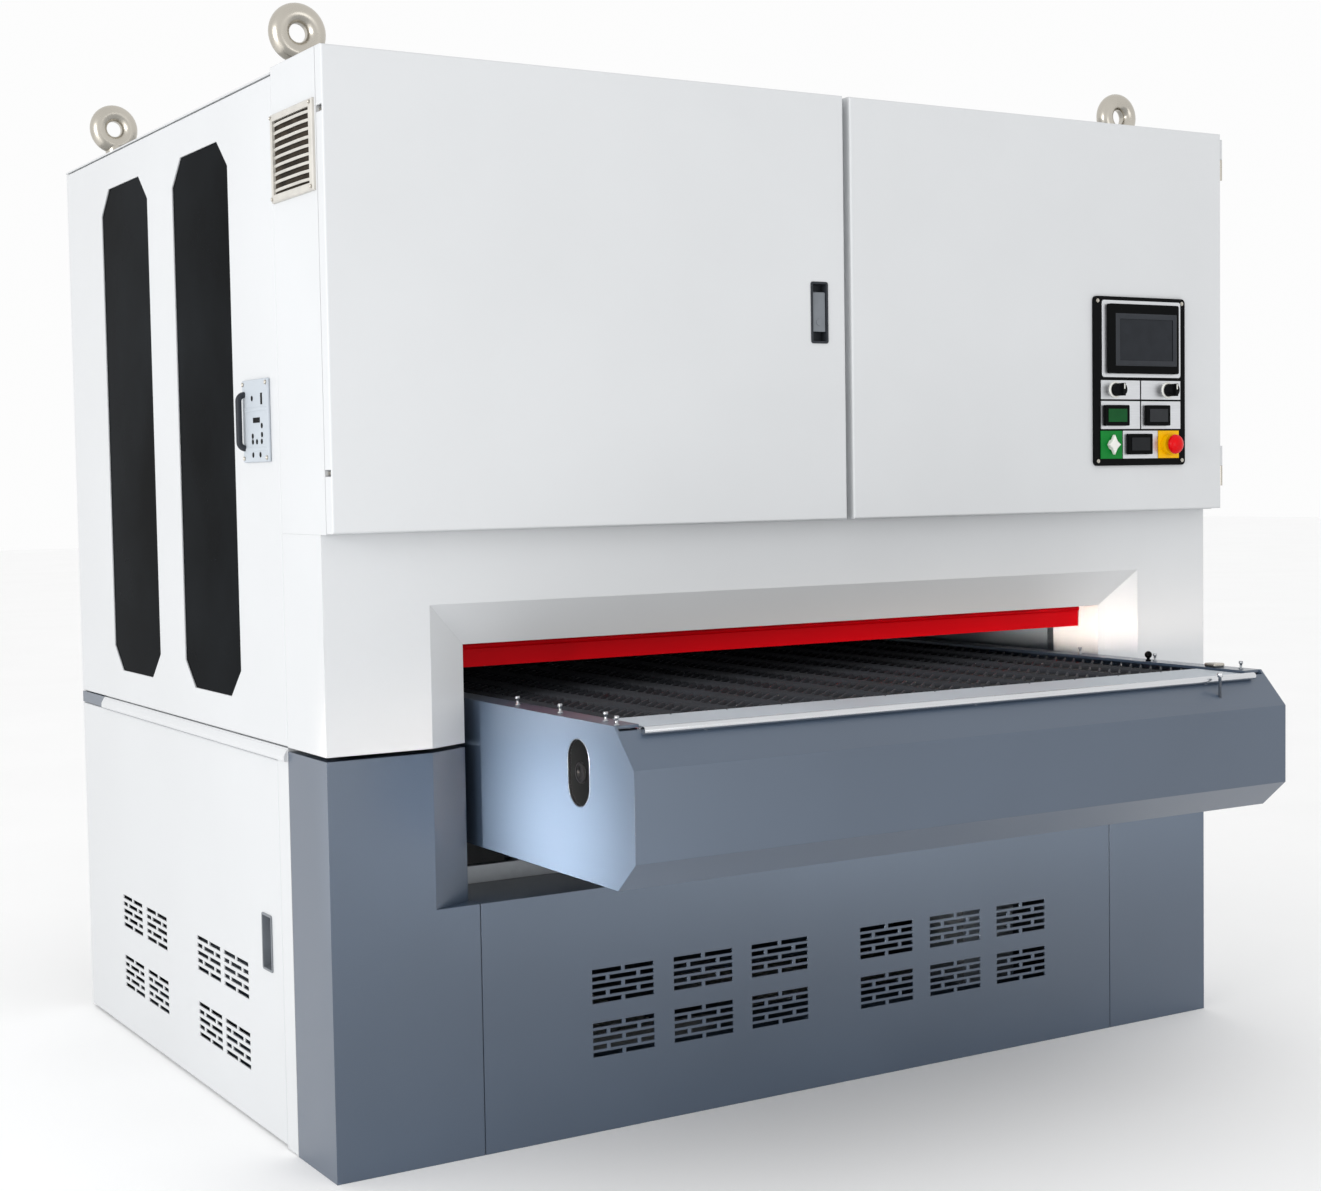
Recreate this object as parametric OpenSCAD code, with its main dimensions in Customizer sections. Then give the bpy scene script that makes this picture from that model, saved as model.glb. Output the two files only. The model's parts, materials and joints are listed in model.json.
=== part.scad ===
// Wide belt sander: two sanding heads over a rising conveyor table, in a folded sheet casing.
// Front faces -Y, the floor is Z = 0 and the origin is the middle of the footprint.

/* [Casing] */
// Overall width of the casing
body_w = 2200; // [2100:1:2300]
// Depth of the casing, fascia to rear panel
body_d = 1572; // [1540:1:1640]
// Height of the roof
roof_z = 2038; // [2030:1:2100]
// Height of the joint between the painted base and the white casing
split_z = 784; // [770:1:800]
// Depth of the front section: columns, fascia and cabinet
seam_d = 190; // [170:1:200]
// Thickness of the casing sheet
sheet = 3; // [2:0.5:4]
// Thickness of a folded door
door_t = 28; // [26:1:32]
// Gap between neighbouring doors and panels
panel_gap = 2; // [2:0.5:4]
// Radius of the folded edges
fold_r = 4; // [2:0.5:6]

/* [Front cabinet] */
// Height of the underside of the cabinet
cabinet_z = 1186; // [1150:1:1200]
// Rise of the cabinet's top over the roof
cabinet_rise = 8; // [4:1:20]
// Reach of the cabinet doors in front of the fascia
cabinet_proj = 56; // [50:1:70]
// Middle of the gap between the two cabinet doors, from the machine's middle
split_x = 35.5; // [-100:0.5:100]
// Width of the gap between the two cabinet doors
split_gap = 17; // [4:1:24]
// Middle of the front flush handle, from the machine's middle
handle_x = -38; // [-60:1:-30]
// Width of the cabinet's front flange
flange_w = 35; // [30:1:45]
// Height of the flush handle's middle on the left door
handle_z = 1607; // [1500:1:1700]
// Width of the flush handles
handle_w = 42; // [36:1:54]
// Height of the front flush handle
handle_h = 124; // [110:1:140]
// Depth of the flush handles' cups
cup_depth = 20; // [16:1:22]

/* [Infeed throat] */
// Width of the casing beside the clear opening
column_w = 295; // [280:1:305]
// Height of the opening's top edge
opening_top = 971; // [965:1:990]
// Height of the opening's floor
throat_floor = 482; // [470:1:490]
// Width of the splayed sides
splay_w = 85; // [60:1:100]
// Height of the splayed top
splay_h = 80; // [60:1:100]
// Depth of the splay
splay_d = 40; // [30:1:50]
// Shadow gap under the fascia
shadow_gap = 8; // [4:1:12]
// Height of the guard's lower edge
guard_z = 921; // [920:0.5:930]
// Depth of the guard behind the fascia
guard_d = 104; // [90:1:120]

/* [Side doors and vents] */
// Height of the top of the lower side door
lower_door_top = 754; // [740:1:760]
// Width of the fixed strip in front of the lower side door
strip_w = 56; // [50:1:64]
// Width of a window in the upper side door
window_w = 342; // [320:1:360]
// Height of the windows' lower edge
window_z = 856; // [845:1:900]
// Height of a window
window_h = 1100; // [1000:1:1120]
// Cut corners of a window, along and up
window_cut = [59, 55];
// Width of a front vent block
vent_w = 140; // [120:1:160]
// Height of a vent slot
slot_h = 9; // [6:0.5:11]
// Spacing of the slot rows
slot_pitch = 14.6; // [12:0.1:16]
// Width of the bridges between slots
bridge = 8; // [6:0.5:10]

/* [Conveyor table] */
// Reach of the table in front of the fascia
table_front = 540; // [500:1:580]
// Reach of the table behind the casing
table_rear = 340; // [300:1:400]
// Gap between the table and the sides of the opening
table_gap = 30; // [20:1:36]
// Height of the table's side flanges at rest
table_z = 862; // [855:1:864]
// Depth of the table, flange to underside
table_h = 280; // [270:1:290]
// Slope of the nose's upper chamfer, back and down
nose_upper = [65, 69];
// Slope of the nose's lower chamfer, back and up
nose_lower = [60, 53];
// Thickness of the side plates
plate_t = 6; // [5:1:10]
// Radius of the conveyor rollers
conveyor_r = 75; // [70:1:78]
// Setback of the conveyor rollers from the table's ends
roller_setback = 190; // [180:1:210]
// Thickness of the conveyor belt over its lugs
belt_t = 12; // [8:1:14]
// Drop of the belt's top below the flanges
belt_drop = 6; // [4:1:8]
// Distance of the conveyor belt's edges from the table's sides
belt_margin = 57; // [55:1:70]
// Radius of the conveyor roller shafts
conveyor_shaft_r = 20; // [18:1:24]
// Drop of the infeed nose below the flanges
nose_drop = 9; // [8:0.5:12]
// Radius of the trip bar
bar_r = 7; // [6:0.5:8]
// Travel of the trip bar
bar_travel = 1.6; // [1:0.1:2]
// Most that the table rises from rest
lift_up = 56; // [40:1:56]
// Most that the table sinks from rest
lift_down = 60; // [20:1:64]

/* [Sanding heads] */
// Distance between the two heads, as a share of the bearing walls' length
head_share = 0.425; // [0.4:0.005:0.43]
// Distance between the pressure rollers, as a share of the bearing walls' length
pressure_share = 0.85; // [0.82:0.01:0.86]
// Radius of the contact drums
drum_r = 120; // [110:1:122]
// Height of the drums' lowest line
drum_low = 916; // [914:0.5:930]
// Distance of the drum and roller faces from the bearing walls
drum_margin = 180; // [170:1:200]
// Radius of the drum shafts
drum_shaft_r = 30; // [26:1:34]
// Radius of the tension rollers
tension_r = 75; // [60:1:80]
// Height of the tension rollers over the drums
tension_rise = 794; // [740:1:800]
// Thickness of the sanding belts
abrasive_t = 1.6; // [1.2:0.1:2]
// Distance of the sanding belts' edges from the ends of the drum faces
abrasive_margin = 5; // [2:0.5:20]
// Travel of the tension yoke when a belt is let go
tension_travel = 30; // [20:1:35]
// Radius of the pressure rollers
pressure_r = 30; // [25:1:32]
// Radius of the motor's pulley
motor_pulley_r = 90; // [80:1:100]
// Radius of the drums' pulleys
drum_pulley_r = 105; // [95:1:110]

/* [Control panel] */
// Distance of the control panel's middle from the casing's right side
panel_in = 260; // [240:1:300]
// Height of the control panel's middle
panel_z = 1477; // [1460:1:1500]
// Width of the control panel
panel_w = 277; // [270:1:290]
// Height of the control panel
panel_h = 375; // [370:1:400]
// Thickness of the control panel
panel_t = 6; // [5:0.5:8]
// Thickness of the legend plates
legend_t = 2; // [1.5:0.5:3]
// Radius of the selector knobs
knob_r = 14; // [12:0.5:15]
// Travel of the push buttons
button_travel = 4; // [3:0.5:5]
// Radius of the stop button's head
stop_r = 22; // [20:0.5:24]

/* [Fits] */
// Running clearance of a shaft in its bore, on the radius
run_fit = 0.05; // [0.02:0.01:0.1]
// Free gap between pieces that pass each other
free_gap = 0.4; // [0.3:0.1:0.8]

/* [Hidden] */
$fn = 48;
overlap = 1;
half_w = body_w / 2;
table_len = table_front + body_d + table_rear;
fascia_y = table_front - table_len / 2;
cabinet_top = roof_z + cabinet_rise;
door_x = half_w - door_t;
frame_x = door_x - panel_gap;
opening_x = half_w - column_w;
sill_top = split_z - panel_gap;
sill_low = lower_door_top + panel_gap;
seam_x = opening_x - 5;
column_top = split_z - shadow_gap;

rail_w = 60;
rail_h = 100;
seam_post = [20, 40];
cross_rail_h = 50;
motor_bed_w = 400;
post_w = 70;
post_d = 60;
rear_in = body_d - sheet;
corner_d = 180;
wall_t = 25;
wall_drop = 78;
wall_over = 20;
drum_bore_fit = 15;
motor_bore_fit = 16;
passage = [15, 12];
wall_x = opening_x + 45;
wall_out = wall_x + wall_t;
wall_y = [seam_d + post_d + 11, rear_in - post_d - 48];
wall_len = wall_y[1] - wall_y[0];
belt_lane = [wall_out + 30, wall_out + 75, wall_out + 80, wall_out + 125];

head_mid = (wall_y[0] + wall_y[1]) / 2;
head_d = [head_mid - head_share * wall_len / 2, head_mid + head_share * wall_len / 2];
drum_l = 2 * (wall_x - drum_margin);
abrasive_w = drum_l - 2 * abrasive_margin;
drum_z = drum_low + drum_r;
tension_z = drum_z + tension_rise;
beam_rise = 204;
beam_h = 280;
beam_z = [drum_z + beam_rise, drum_z + beam_rise + beam_h];
beam_half = 55;
beam_wall = 12;
hanger_x = drum_l / 2 + 80;
hanger_t = 40;
lock_t = 25;
lock_over = 70;
lock_in = 60;
hanger_drop = 60;
guide_r = 50;
guide_h = 120;
yoke_rod_r = 25;
yoke_rod_in = 50;
yoke_z = [tension_z - 140, tension_z - 90];
yoke_half = 35;
yoke_arm_x = drum_l / 2 + 35;
yoke_arm_t = 40;
tension_shaft_r = 20;
pressure_shaft_r = 15;
pressure_z = drum_low - 2 + pressure_r;
pressure_at = [head_mid - pressure_share * wall_len / 2, head_mid + pressure_share * wall_len / 2];
gear_edge = [120, 60];
gear_plate_t = 3;
drive_size = [200, 147, 340];
drive_at = [80, 86];
drive_pitch = 260;
contactor_size = [60, 92, 90];
contactor_at = [-300, 196];
contactor_pitch = 80;
fuse_size = [100, 117, 180];
fuse_at = [300, 186];
fuse_pitch = 130;
duct_size = [57, 60];
duct_at = [100, 44];

motor_z = 300;
motor_r = 150;
motor_fin = 15;
motor_fins = 30;
motor_l = 440;
motor_x = [wall_x - 50 - motor_l, wall_x - 50];
motor_bell = 30;
motor_bell_in = 12;
motor_shaft_r = 24;
motor_shaft_in = 50;
motor_bore = 60;
motor_foot_in = 60;
motor_foot_w = 260;
motor_foot_drop = 90;
motor_box_at = 140;
motor_box_l = 150;
motor_box_out = 70;
motor_box_z = [-20, 90];
v_belt_t = 8;
v_belt_side = 3;
bed_plate_t = 15;

table_x = opening_x - table_gap;
belt_w = 2 * (table_x - belt_margin);
table_low = table_z - table_h;
table_end = body_d + table_rear;
belt_top = table_z - belt_drop;
roller_z = belt_top - belt_t - conveyor_r - free_gap;
idler_y = -table_front + roller_setback;
drive_y = table_end - roller_setback;
lug_w = 120;
lug_h = 60;
lug_in = belt_w / 2 + 13;
flange_x = belt_w / 2 + 8;
flange_t = 6;
bed_t = 12;
bed_gap = 18;
rib_in = 200;
rib_w = 60;
rib_h = 80;
ribs = 4;
cross_w = 80;
nose_back = 60;
nose_under = 50;
nose_plate_in = [5, 3];
gearbox = [125, 160];
gearbox_z = [-90, 80];
gear_off = 76;
gear_motor_r = 75;
gear_motor_l = 210;
gear_cowl_r = 68;
gear_cowl_l = 30;
drive_shaft_out = 90;
drive_bore_l = 95;
roller_wall = 10;
drum_wall = 20;
guard_t = 4;
guard_drop = 10;
guard_hem_r = 6;
belt_low = roller_z - conveyor_r - free_gap - belt_t;
cross_z = [table_low + 8, belt_low - 31.2];
nose_t = 2;
nose_z = table_z - nose_drop;
nose_turn = nose_upper[0] * (1 - nose_drop / nose_upper[1]);
chamfer_tilt = atan2(nose_upper[1], nose_upper[0]);
bar_down = 21;
bar_off = bar_travel + free_gap + bar_r;
bar_pin_r = 4;
bar_x = table_x - 45;
bar_pins = [175 - table_x, 0, table_x - 175];
lift_at = [[table_x - 175, seam_d + post_d], [table_x - 175, pressure_at[1]]];
screw_r = 20;
jack_w = 150;
jack_top = 280;
screw_foot = rail_h + lift_down + 10;

eye_r = 36.5;
eye_section = 19.5;
eye_bore = 18;
eye_rise = 82;
eye_at = [half_w - 65, seam_d + 25, rear_in - 181];
shank_r = 15;
shank_l = 40;
eye_hole_l = 60;
eye_collar_h = 12;
eye_neck_r = 20;
eye_collar_r = 24;

hood_d = 174;
hood_half = 35;
plenum = [90, 85];
plenum_z = [tension_z + 20, roof_z - 48];
spigot_r = 75;
spigot_flange = [22, 6];
hood_clear = 10;
hood_rise = 64;
spigot_h = 100;

pin_r = 4;
barrel_r = 7;
barrel_h = 46;
pin_short = 4;
hinge_leaf_t = 4;
hinge_leaf_w = [25, 40];
front_pivot = [-half_w + 8, -cabinet_proj + 8];
front_hinge_z = [cabinet_z + 110, cabinet_top - 110];
right_pivot = [half_w + barrel_r, -cabinet_proj + 12];
right_hinge_z = [cabinet_z + 100, cabinet_top - 58];
side_pivot = [-half_w + 12, body_d + barrel_r];
upper_hinge_z = [split_z + 216, roof_z - 238];
lower_hinge_z = [180, 600];

latch_at = [302, 1400];
latch_size = [137, 158];
latch_t = 6;
bow_reach = 33;
bow_h = 117;
bow_r = 7;
bow_d = 352;
lower_handle_at = [327, 388];
lower_handle_size = [54, 112];

cabinet_front = -cabinet_proj + door_t + panel_gap;
panel_face = -cabinet_proj - panel_t;
legend_face = panel_face - legend_t;
cell_gap = 4;
panel_at = [half_w - panel_in, panel_z];
cell_x = [panel_at[0] - 120, panel_at[0] - 1, panel_at[0] + 122];
screen_at = panel_at + [10, 92];
screen_size = [162, 92];
hmi_size = [212, 154];
bezel_t = 8;
bezel_rim = 8;
button_size = [72, 46];
run_at = panel_at + [-78, -76];
reverse_at = panel_at + [47, -76];
reset_at = panel_at + [-8, -140];
selector_at = [panel_at + [-78, -19], panel_at + [82, -19]];
direction_at = panel_at + [-89, -141];
stop_at = panel_at + [85, -141];
tile = [64, 62];
knob_h = 24;
grip = [7, 6];
stop_edge = 3;
star_half = [17, 21];
star_y = [-20, -7];
star_neck = [12, 8];
plate_corner = 10;
screen_cell = [239, 7, 6];
bezel_off = [-6, 2];
collar_r = 24;
collar_h = 12;
stop_stem_r = 9;
stop_head_h = 16;
stop_travel = 6;

WHITE = "#eceef0";
BLUE_GREY = "#6b778a";
STEEL = "#b9bcc0";
ZINC = "#c9cac8";
BLACK = "#1c1d1f";

// Helpers: blocks by their corners, rods along an axis, and outlines turned to an axis.

module placed(paint) color(paint) translate([0, fascia_y, 0]) children();
module block(low, high) translate(low) cube(high - low);
module sides() {
    children();
    mirror([1, 0, 0]) children();
}
module along_x(x0, x1) translate([x0, 0, 0]) rotate([90, 0, 90]) linear_extrude(x1 - x0) children();
module along_y(y0, y1) translate([0, y1, 0]) rotate([90, 0, 0]) linear_extrude(y1 - y0) children();
module rod_x(x0, x1, r, y, z) translate([x0, y, z]) rotate([0, 90, 0]) cylinder(h = x1 - x0, r = r);
module rod_y(y0, y1, r, x, z) translate([x, y1, z]) rotate([90, 0, 0]) cylinder(h = y1 - y0, r = r);
module rod_z(z0, z1, r, x, y) translate([x, y, z0]) cylinder(h = z1 - z0, r = r);

function arc(c, r, a0, a1, n = 6) =
    [for (i = [0:n]) c + r * [cos(a0 + (a1 - a0) * i / n), sin(a0 + (a1 - a0) * i / n)]];

// A rectangle whose two corners on the low side of its second axis are rounded.
function folded(x0, x1, y0, y1, r) =
    concat([[x0, y1]], arc([x0 + r, y0 + r], r, 180, 270), arc([x1 - r, y0 + r], r, 270, 360), [[x1, y1]]);

// A rectangle with four rounded corners.
function rounded(w, h, r) =
    concat(arc([w / 2 - r, h / 2 - r], r, 0, 90), arc([r - w / 2, h / 2 - r], r, 90, 180),
           arc([r - w / 2, r - h / 2], r, 180, 270), arc([w / 2 - r, r - h / 2], r, 270, 360));

// A rectangle with cut corners, measured along the first and second axis.
function cut_corners(x0, x1, y0, y1, cut) = [
    [x0 + cut[0], y0], [x1 - cut[0], y0], [x1, y0 + cut[1]], [x1, y1 - cut[1]],
    [x1 - cut[0], y1], [x0 + cut[0], y1], [x0, y1 - cut[1]], [x0, y0 + cut[1]]];

// The outline of a belt round two pulleys.
function loop(c1, r1, c2, r2, n = 24) =
    let (v = c2 - c1, phi = atan2(v[1], v[0]), beta = acos((r1 - r2) / norm(v)))
    concat(arc(c1, r1, phi + beta, phi + 360 - beta, n), arc(c2, r2, phi - beta, phi + beta, n));

// A bent strip of even thickness on the left of its path.
function side(v) = [-v[1], v[0]] / norm(v);
function bend(p, i, t) =
    i == 0 ? p[0] + t * side(p[1] - p[0])
    : i == len(p) - 1 ? p[i] + t * side(p[i] - p[i - 1])
    : let (a = side(p[i] - p[i - 1]), b = side(p[i + 1] - p[i])) p[i] + t * (a + b) / (1 + a * b);
function strip(p, t) = concat(p, [for (i = [len(p) - 1:-1:0]) bend(p, i, t)]);

module belt_loop(c1, r1, c2, r2, t, x0, x1)
    along_x(x0, x1) difference() {
        polygon(loop(c1, r1 + t, c2, r2 + t));
        polygon(loop(c1, r1, c2, r2));
    }

// A tube on a shaft, carried by two webs with holes.
module roller(len, r, wall, shaft_r, x0, x1, y, z) {
    web = 20;
    holes = 5;
    difference() {
        rod_x(-len / 2, len / 2, r, y, z);
        rod_x(-len / 2 - overlap, len / 2 + overlap, r - wall, y, z);
    }
    rod_x(x0, x1, shaft_r, y, z);
    for (s = [-1, 1]) difference() {
        mid = s * (len / 2 - 2 * web);
        rod_x(mid - web / 2, mid + web / 2, r - wall + 0.5, y, z);
        for (i = [0:holes - 1]) rotate_about(360 * i / holes, y, z)
            rod_x(mid - web, mid + web, (r - wall - shaft_r) / 4, y + (r - wall + shaft_r) / 2, z);
    }
}
module rotate_about(a, y, z) translate([0, y, z]) rotate([a, 0, 0]) translate([0, -y, -z]) children();

// The infeed throat: a splayed mouth that runs back straight. grow moves its walls out.
module throat_void(grow = 0) {
    kx = norm([splay_w, splay_d]) / splay_d;
    kz = norm([splay_h, splay_d]) / splay_d;
    front = 2;
    back = seam_d + overlap;
    mouth_x = opening_x + splay_w + kx * grow + splay_w * front / splay_d;
    turn_x = splay_d + (kx - 1) * grow * splay_d / splay_w;
    mouth_z = opening_top + splay_h + kz * grow + splay_h * front / splay_d;
    turn_z = splay_d + (kz - 1) * grow * splay_d / splay_h;
    x = opening_x + grow;
    z = opening_top + grow;
    intersection() {
        linear_extrude(cabinet_z) polygon([
            [-mouth_x, -front], [mouth_x, -front], [x, turn_x], [x, back], [-x, back], [-x, turn_x]]);
        along_x(-half_w, half_w) polygon([
            [-front, throat_floor - grow], [back, throat_floor - grow], [back, z], [turn_z, z],
            [-front, mouth_z]]);
    }
}
module throat_skin(low, high) intersection() {
    difference() {
        throat_void(sheet);
        throat_void();
    }
    block(low, high);
}

// A block of vent slots, drawn from its lower left corner, in rows of two and three.
vent_rows = 5;
module vent_block(w, pitch) {
    quarter = w / 4;
    for (row = [0:vent_rows - 1]) translate([0, row * pitch]) {
        cuts = row % 2 == 0 ? [0, w / 2, w] : [0, quarter, w - quarter, w];
        for (i = [0:len(cuts) - 2]) {
            from = cuts[i] + (i == 0 ? 0 : bridge / 2);
            to = cuts[i + 1] - (i == len(cuts) - 2 ? 0 : bridge / 2);
            translate([from, 0]) square([to - from, slot_h]);
        }
    }
}

// A folded door leaf: rounded front edges, hollow from behind. Drawn facing -Y.
module leaf(x0, x1, z0, z1, t) difference() {
    intersection() {
        translate([0, 0, z0]) linear_extrude(z1 - z0) polygon(folded(x0, x1, 0, t, fold_r));
        along_x(x0, x1) polygon([for (p = folded(z0, z1, 0, t, fold_r)) [p[1], p[0]]]);
    }
    block([x0 + sheet, sheet, z0 + sheet], [x1 - sheet, t + overlap, z1 - sheet]);
}
// The same leaf turned to face -X on the left side, with its length along Y.
module left_leaf(y0, y1, z0, z1, t) translate([-half_w, 0, 0]) rotate([0, 0, -90]) leaf(-y1, -y0, z0, z1, t);

// Fixed structure

module base_frame() placed(BLUE_GREY) {
    rear = [rear_in - rail_w, rear_in];
    block([-frame_x, sheet, 0], [frame_x, sheet + rail_w, rail_h]);
    block([-frame_x, rear[0], 0], [frame_x, rear[1], rail_h]);
    block([-rail_w / 2, sheet, 0], [rail_w / 2, rear_in, rail_h]);
    sides() {
        block([frame_x - rail_w, sheet, 0], [frame_x, rear_in, rail_h]);
        block([wall_out - rail_w, sheet, 0], [wall_out, rear_in, rail_h]);
        block([frame_x - post_w, seam_d, 0], [frame_x, seam_d + post_d, sill_low]);
        block([frame_x - post_w, rear_in - post_d, 0], [frame_x, rear_in, sill_low]);
        block([frame_x - post_w, seam_d, sill_low - rail_w], [frame_x, rear_in, sill_low]);
        block([frame_x - post_w, rear_in - corner_d, sill_low], [half_w, rear_in - post_d, sill_top]);
        block([frame_x + overlap, rear_in - corner_d, sill_low], [half_w, rear_in, sill_top]);
        block([seam_x - seam_post[0], sheet, 0],
              [seam_x + seam_post[1], sheet + seam_post[1], throat_floor - sheet]);
        for (at = lift_at) block([0, at[1] - rail_w, 0], [wall_x, at[1] + rail_w, rail_h]);
    }
    block([-seam_x, sheet, throat_floor - cross_rail_h],
          [seam_x, sheet + seam_post[1], throat_floor - sheet]);
    block([0, head_mid - motor_bed_w / 2, rail_h - overlap],
          [wall_x, head_mid + motor_bed_w / 2, rail_h + bed_plate_t]);
}

module upper_frame() placed(WHITE) {
    top = roof_z - sheet;
    difference() {
        union() {
            sides() {
                sill_end = rear_in - corner_d - panel_gap;
                block([frame_x - post_w, seam_d, sill_low], [frame_x, seam_d + post_d, top]);
                block([frame_x - post_w, rear_in - post_d, sill_low], [frame_x, rear_in, top]);
                block([frame_x - post_w, seam_d, top - post_w], [frame_x, rear_in, top]);
                block([frame_x - overlap, seam_d + panel_gap, sill_low], [half_w, sill_end, sill_top]);
                block([frame_x - post_w, seam_d, sill_low], [frame_x, sill_end, sill_top]);
                block([frame_x, seam_d + panel_gap, panel_gap], [half_w, seam_d + strip_w, sill_low]);
            }
            block([-frame_x, seam_d, top - post_w], [frame_x, seam_d + post_d, top]);
            block([-frame_x, rear_in - post_d, top - post_w], [frame_x, rear_in, top]);
        }
        eye_places() rod_z(roof_z - eye_hole_l, roof_z, shank_r + run_fit, 0, 0);
    }
}

module frame_walls() placed("#8a929c") {
    difference() {
        block([wall_x, wall_y[0], rail_h], [wall_out, wall_y[1], roof_z - wall_drop]);
        for (d = head_d) rod_x(wall_x - overlap, wall_out + overlap, drum_shaft_r + drum_bore_fit, d, drum_z);
        rod_x(wall_x - overlap, wall_out + overlap, motor_shaft_r + motor_bore_fit, head_mid, motor_z);
        for (d = pressure_at)
            rod_x(wall_x - overlap, wall_out + overlap, pressure_shaft_r + run_fit, d, pressure_z);
    }
    difference() {
        block([-wall_out, wall_y[0], rail_h], [-wall_x, wall_y[1], beam_z[1] + wall_over]);
        for (d = head_d) block([-wall_out - overlap, d - drum_r - passage[0], drum_low - passage[1]],
                               [-wall_x + overlap, d + drum_r + passage[0], roof_z]);
        for (d = pressure_at)
            rod_x(-wall_out - overlap, -wall_x + overlap, pressure_shaft_r + run_fit, d, pressure_z);
    }
}

module front_columns() placed(BLUE_GREY) sides() {
    difference() {
        union() {
            block([seam_x, 0, 0], [half_w, sheet, column_top]);
            block([half_w - sheet, 0, 0], [half_w, seam_d, column_top]);
            block([frame_x - post_w, seam_d - sheet, 0], [half_w, seam_d, column_top]);
            block([opening_x, 0, column_top - sheet], [half_w, seam_d, column_top]);
        }
        throat_void();
        block([frame_x - post_w - overlap, seam_d - sheet - overlap, -overlap], [frame_x, seam_d, rail_h]);
    }
    throat_skin([seam_x, 0, throat_floor - sheet], [half_w, seam_d, column_top]);
}

vent_lift = 149;
vent_pitch = [187, 106];
vent_groups = [-304, 346];
module front_lower_panel() placed(BLUE_GREY) {
    x = seam_x - panel_gap;
    difference() {
        block([-x, 0, 0], [x, sheet, throat_floor]);
        along_y(-overlap, sheet + overlap) for (mid = vent_groups, col = [-1:1], row = [0, 1])
            translate([mid + col * vent_pitch[0] - vent_w / 2, vent_lift + row * vent_pitch[1]])
                vent_block(vent_w, slot_pitch);
    }
    throat_skin([-x, 0, throat_floor - sheet], [x, seam_d, throat_floor]);
}

module fascia() placed(WHITE) {
    difference() {
        union() {
            block([-half_w, 0, split_z], [half_w, sheet, cabinet_z]);
            block([-half_w, 0, cabinet_z - sheet], [half_w, seam_d, cabinet_z]);
            sides() {
                block([half_w - sheet, 0, split_z], [half_w, seam_d, cabinet_z]);
                block([frame_x - post_w, seam_d - sheet, split_z], [half_w, seam_d, cabinet_z]);
            }
        }
        throat_void();
    }
    difference() {
        throat_skin([-half_w, 0, split_z], [half_w, seam_d, cabinet_z]);
        rod_x(-half_w, half_w, pin_r + run_fit, guard_d + guard_t / 2, opening_top - guard_drop);
    }
}

fan_y = [cabinet_front + 6, seam_d - 5];
fan_z = [cabinet_top - 250, cabinet_top - 88];
fan_inset = [40, 24];
module cabinet_shell() placed(WHITE) {
    post = 40;
    difference() {
        block([-half_w, cabinet_front, cabinet_z], [half_w, seam_d, cabinet_top]);
        block([-half_w + sheet, cabinet_front + sheet, cabinet_z + sheet],
              [half_w - sheet, seam_d - sheet, cabinet_top - sheet]);
        block([-half_w + flange_w, cabinet_front - overlap, cabinet_z + flange_w],
              [split_x - post / 2, cabinet_front + sheet + overlap, cabinet_top - flange_w]);
        block([split_x + post / 2, cabinet_front - overlap, cabinet_z + flange_w],
              [half_w - flange_w, cabinet_front + sheet + overlap, cabinet_top - flange_w]);
        block([-half_w - overlap, fan_y[0] + fan_inset[0], fan_z[0] + fan_inset[1]],
              [-half_w + sheet + overlap, fan_y[1] - fan_inset[0], fan_z[1] - fan_inset[1]]);
    }
}

// Mounting plate with its drives, contactors and terminals.
module switchgear() placed("#d9d4c6") {
    x = half_w - gear_edge[0];
    z = [cabinet_z + gear_edge[1], cabinet_top - gear_edge[1]];
    duct = [2 * (x - duct_at[0]), duct_size[0], duct_size[1]];
    gear_plate([-x, z[0]], [2 * x, gear_plate_t, z[1] - z[0]], 0);
    gear_row(2, [drive_at[0] - x, z[1] - drive_at[1]], drive_size, drive_pitch);
    gear_row(6, [contactor_at[0], z[1] - contactor_at[1]], contactor_size, contactor_pitch);
    gear_row(3, [fuse_at[0], z[1] - fuse_at[1]], fuse_size, fuse_pitch);
    gear_plate([duct_at[0] - x, z[0] + duct_at[1]], duct, gear_plate_t);
}
module gear_row(count, at, size, pitch) for (i = [0:count - 1])
    gear_plate([at[0] + i * pitch, at[1] - size[2]], size, gear_plate_t);
module gear_plate(at, size, off) {
    back = seam_d - sheet - off;
    block([at[0], back - size[1], at[1]], [at[0] + size[0], back, at[1] + size[2]]);
}

grille_slats = 10;
module fan_grille() placed("#cfcbbf") {
    y = fan_y;
    z = fan_z;
    t = 8;
    rim = 14;
    bar = 4;
    pitch = (z[1] - z[0] - 2 * rim) / grille_slats;
    difference() {
        block([-half_w - t, y[0], z[0]], [-half_w, y[1], z[1]]);
        block([-half_w - t - overlap, y[0] + rim, z[0] + rim], [-half_w + overlap, y[1] - rim, z[1] - rim]);
    }
    for (i = [0:grille_slats - 1]) {
        mid = z[0] + rim + (i + 0.5) * pitch;
        block([-half_w - t + 1, y[0] + rim - overlap, mid - bar / 2],
              [-half_w - 2, y[1] - rim + overlap, mid + bar / 2]);
    }
}

module roof_panel() placed(WHITE) difference() {
    block([-half_w, seam_d + panel_gap, roof_z - sheet], [half_w, body_d, roof_z]);
    eye_places() rod_z(roof_z - sheet - overlap, roof_z + overlap, shank_r + run_fit, 0, 0);
    for (d = head_d)
        rod_z(roof_z - sheet - overlap, roof_z + overlap, spigot_r + free_gap, 0, d + hood_d);
}

module rear_panels() placed(WHITE) for (z = [[panel_gap, split_z - panel_gap], [split_z, roof_z - sheet]])
    difference() {
        block([-frame_x, rear_in, z[0]], [frame_x, body_d, z[1]]);
        block([-opening_x, rear_in - overlap, throat_floor], [opening_x, body_d + overlap, opening_top]);
    }

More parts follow.
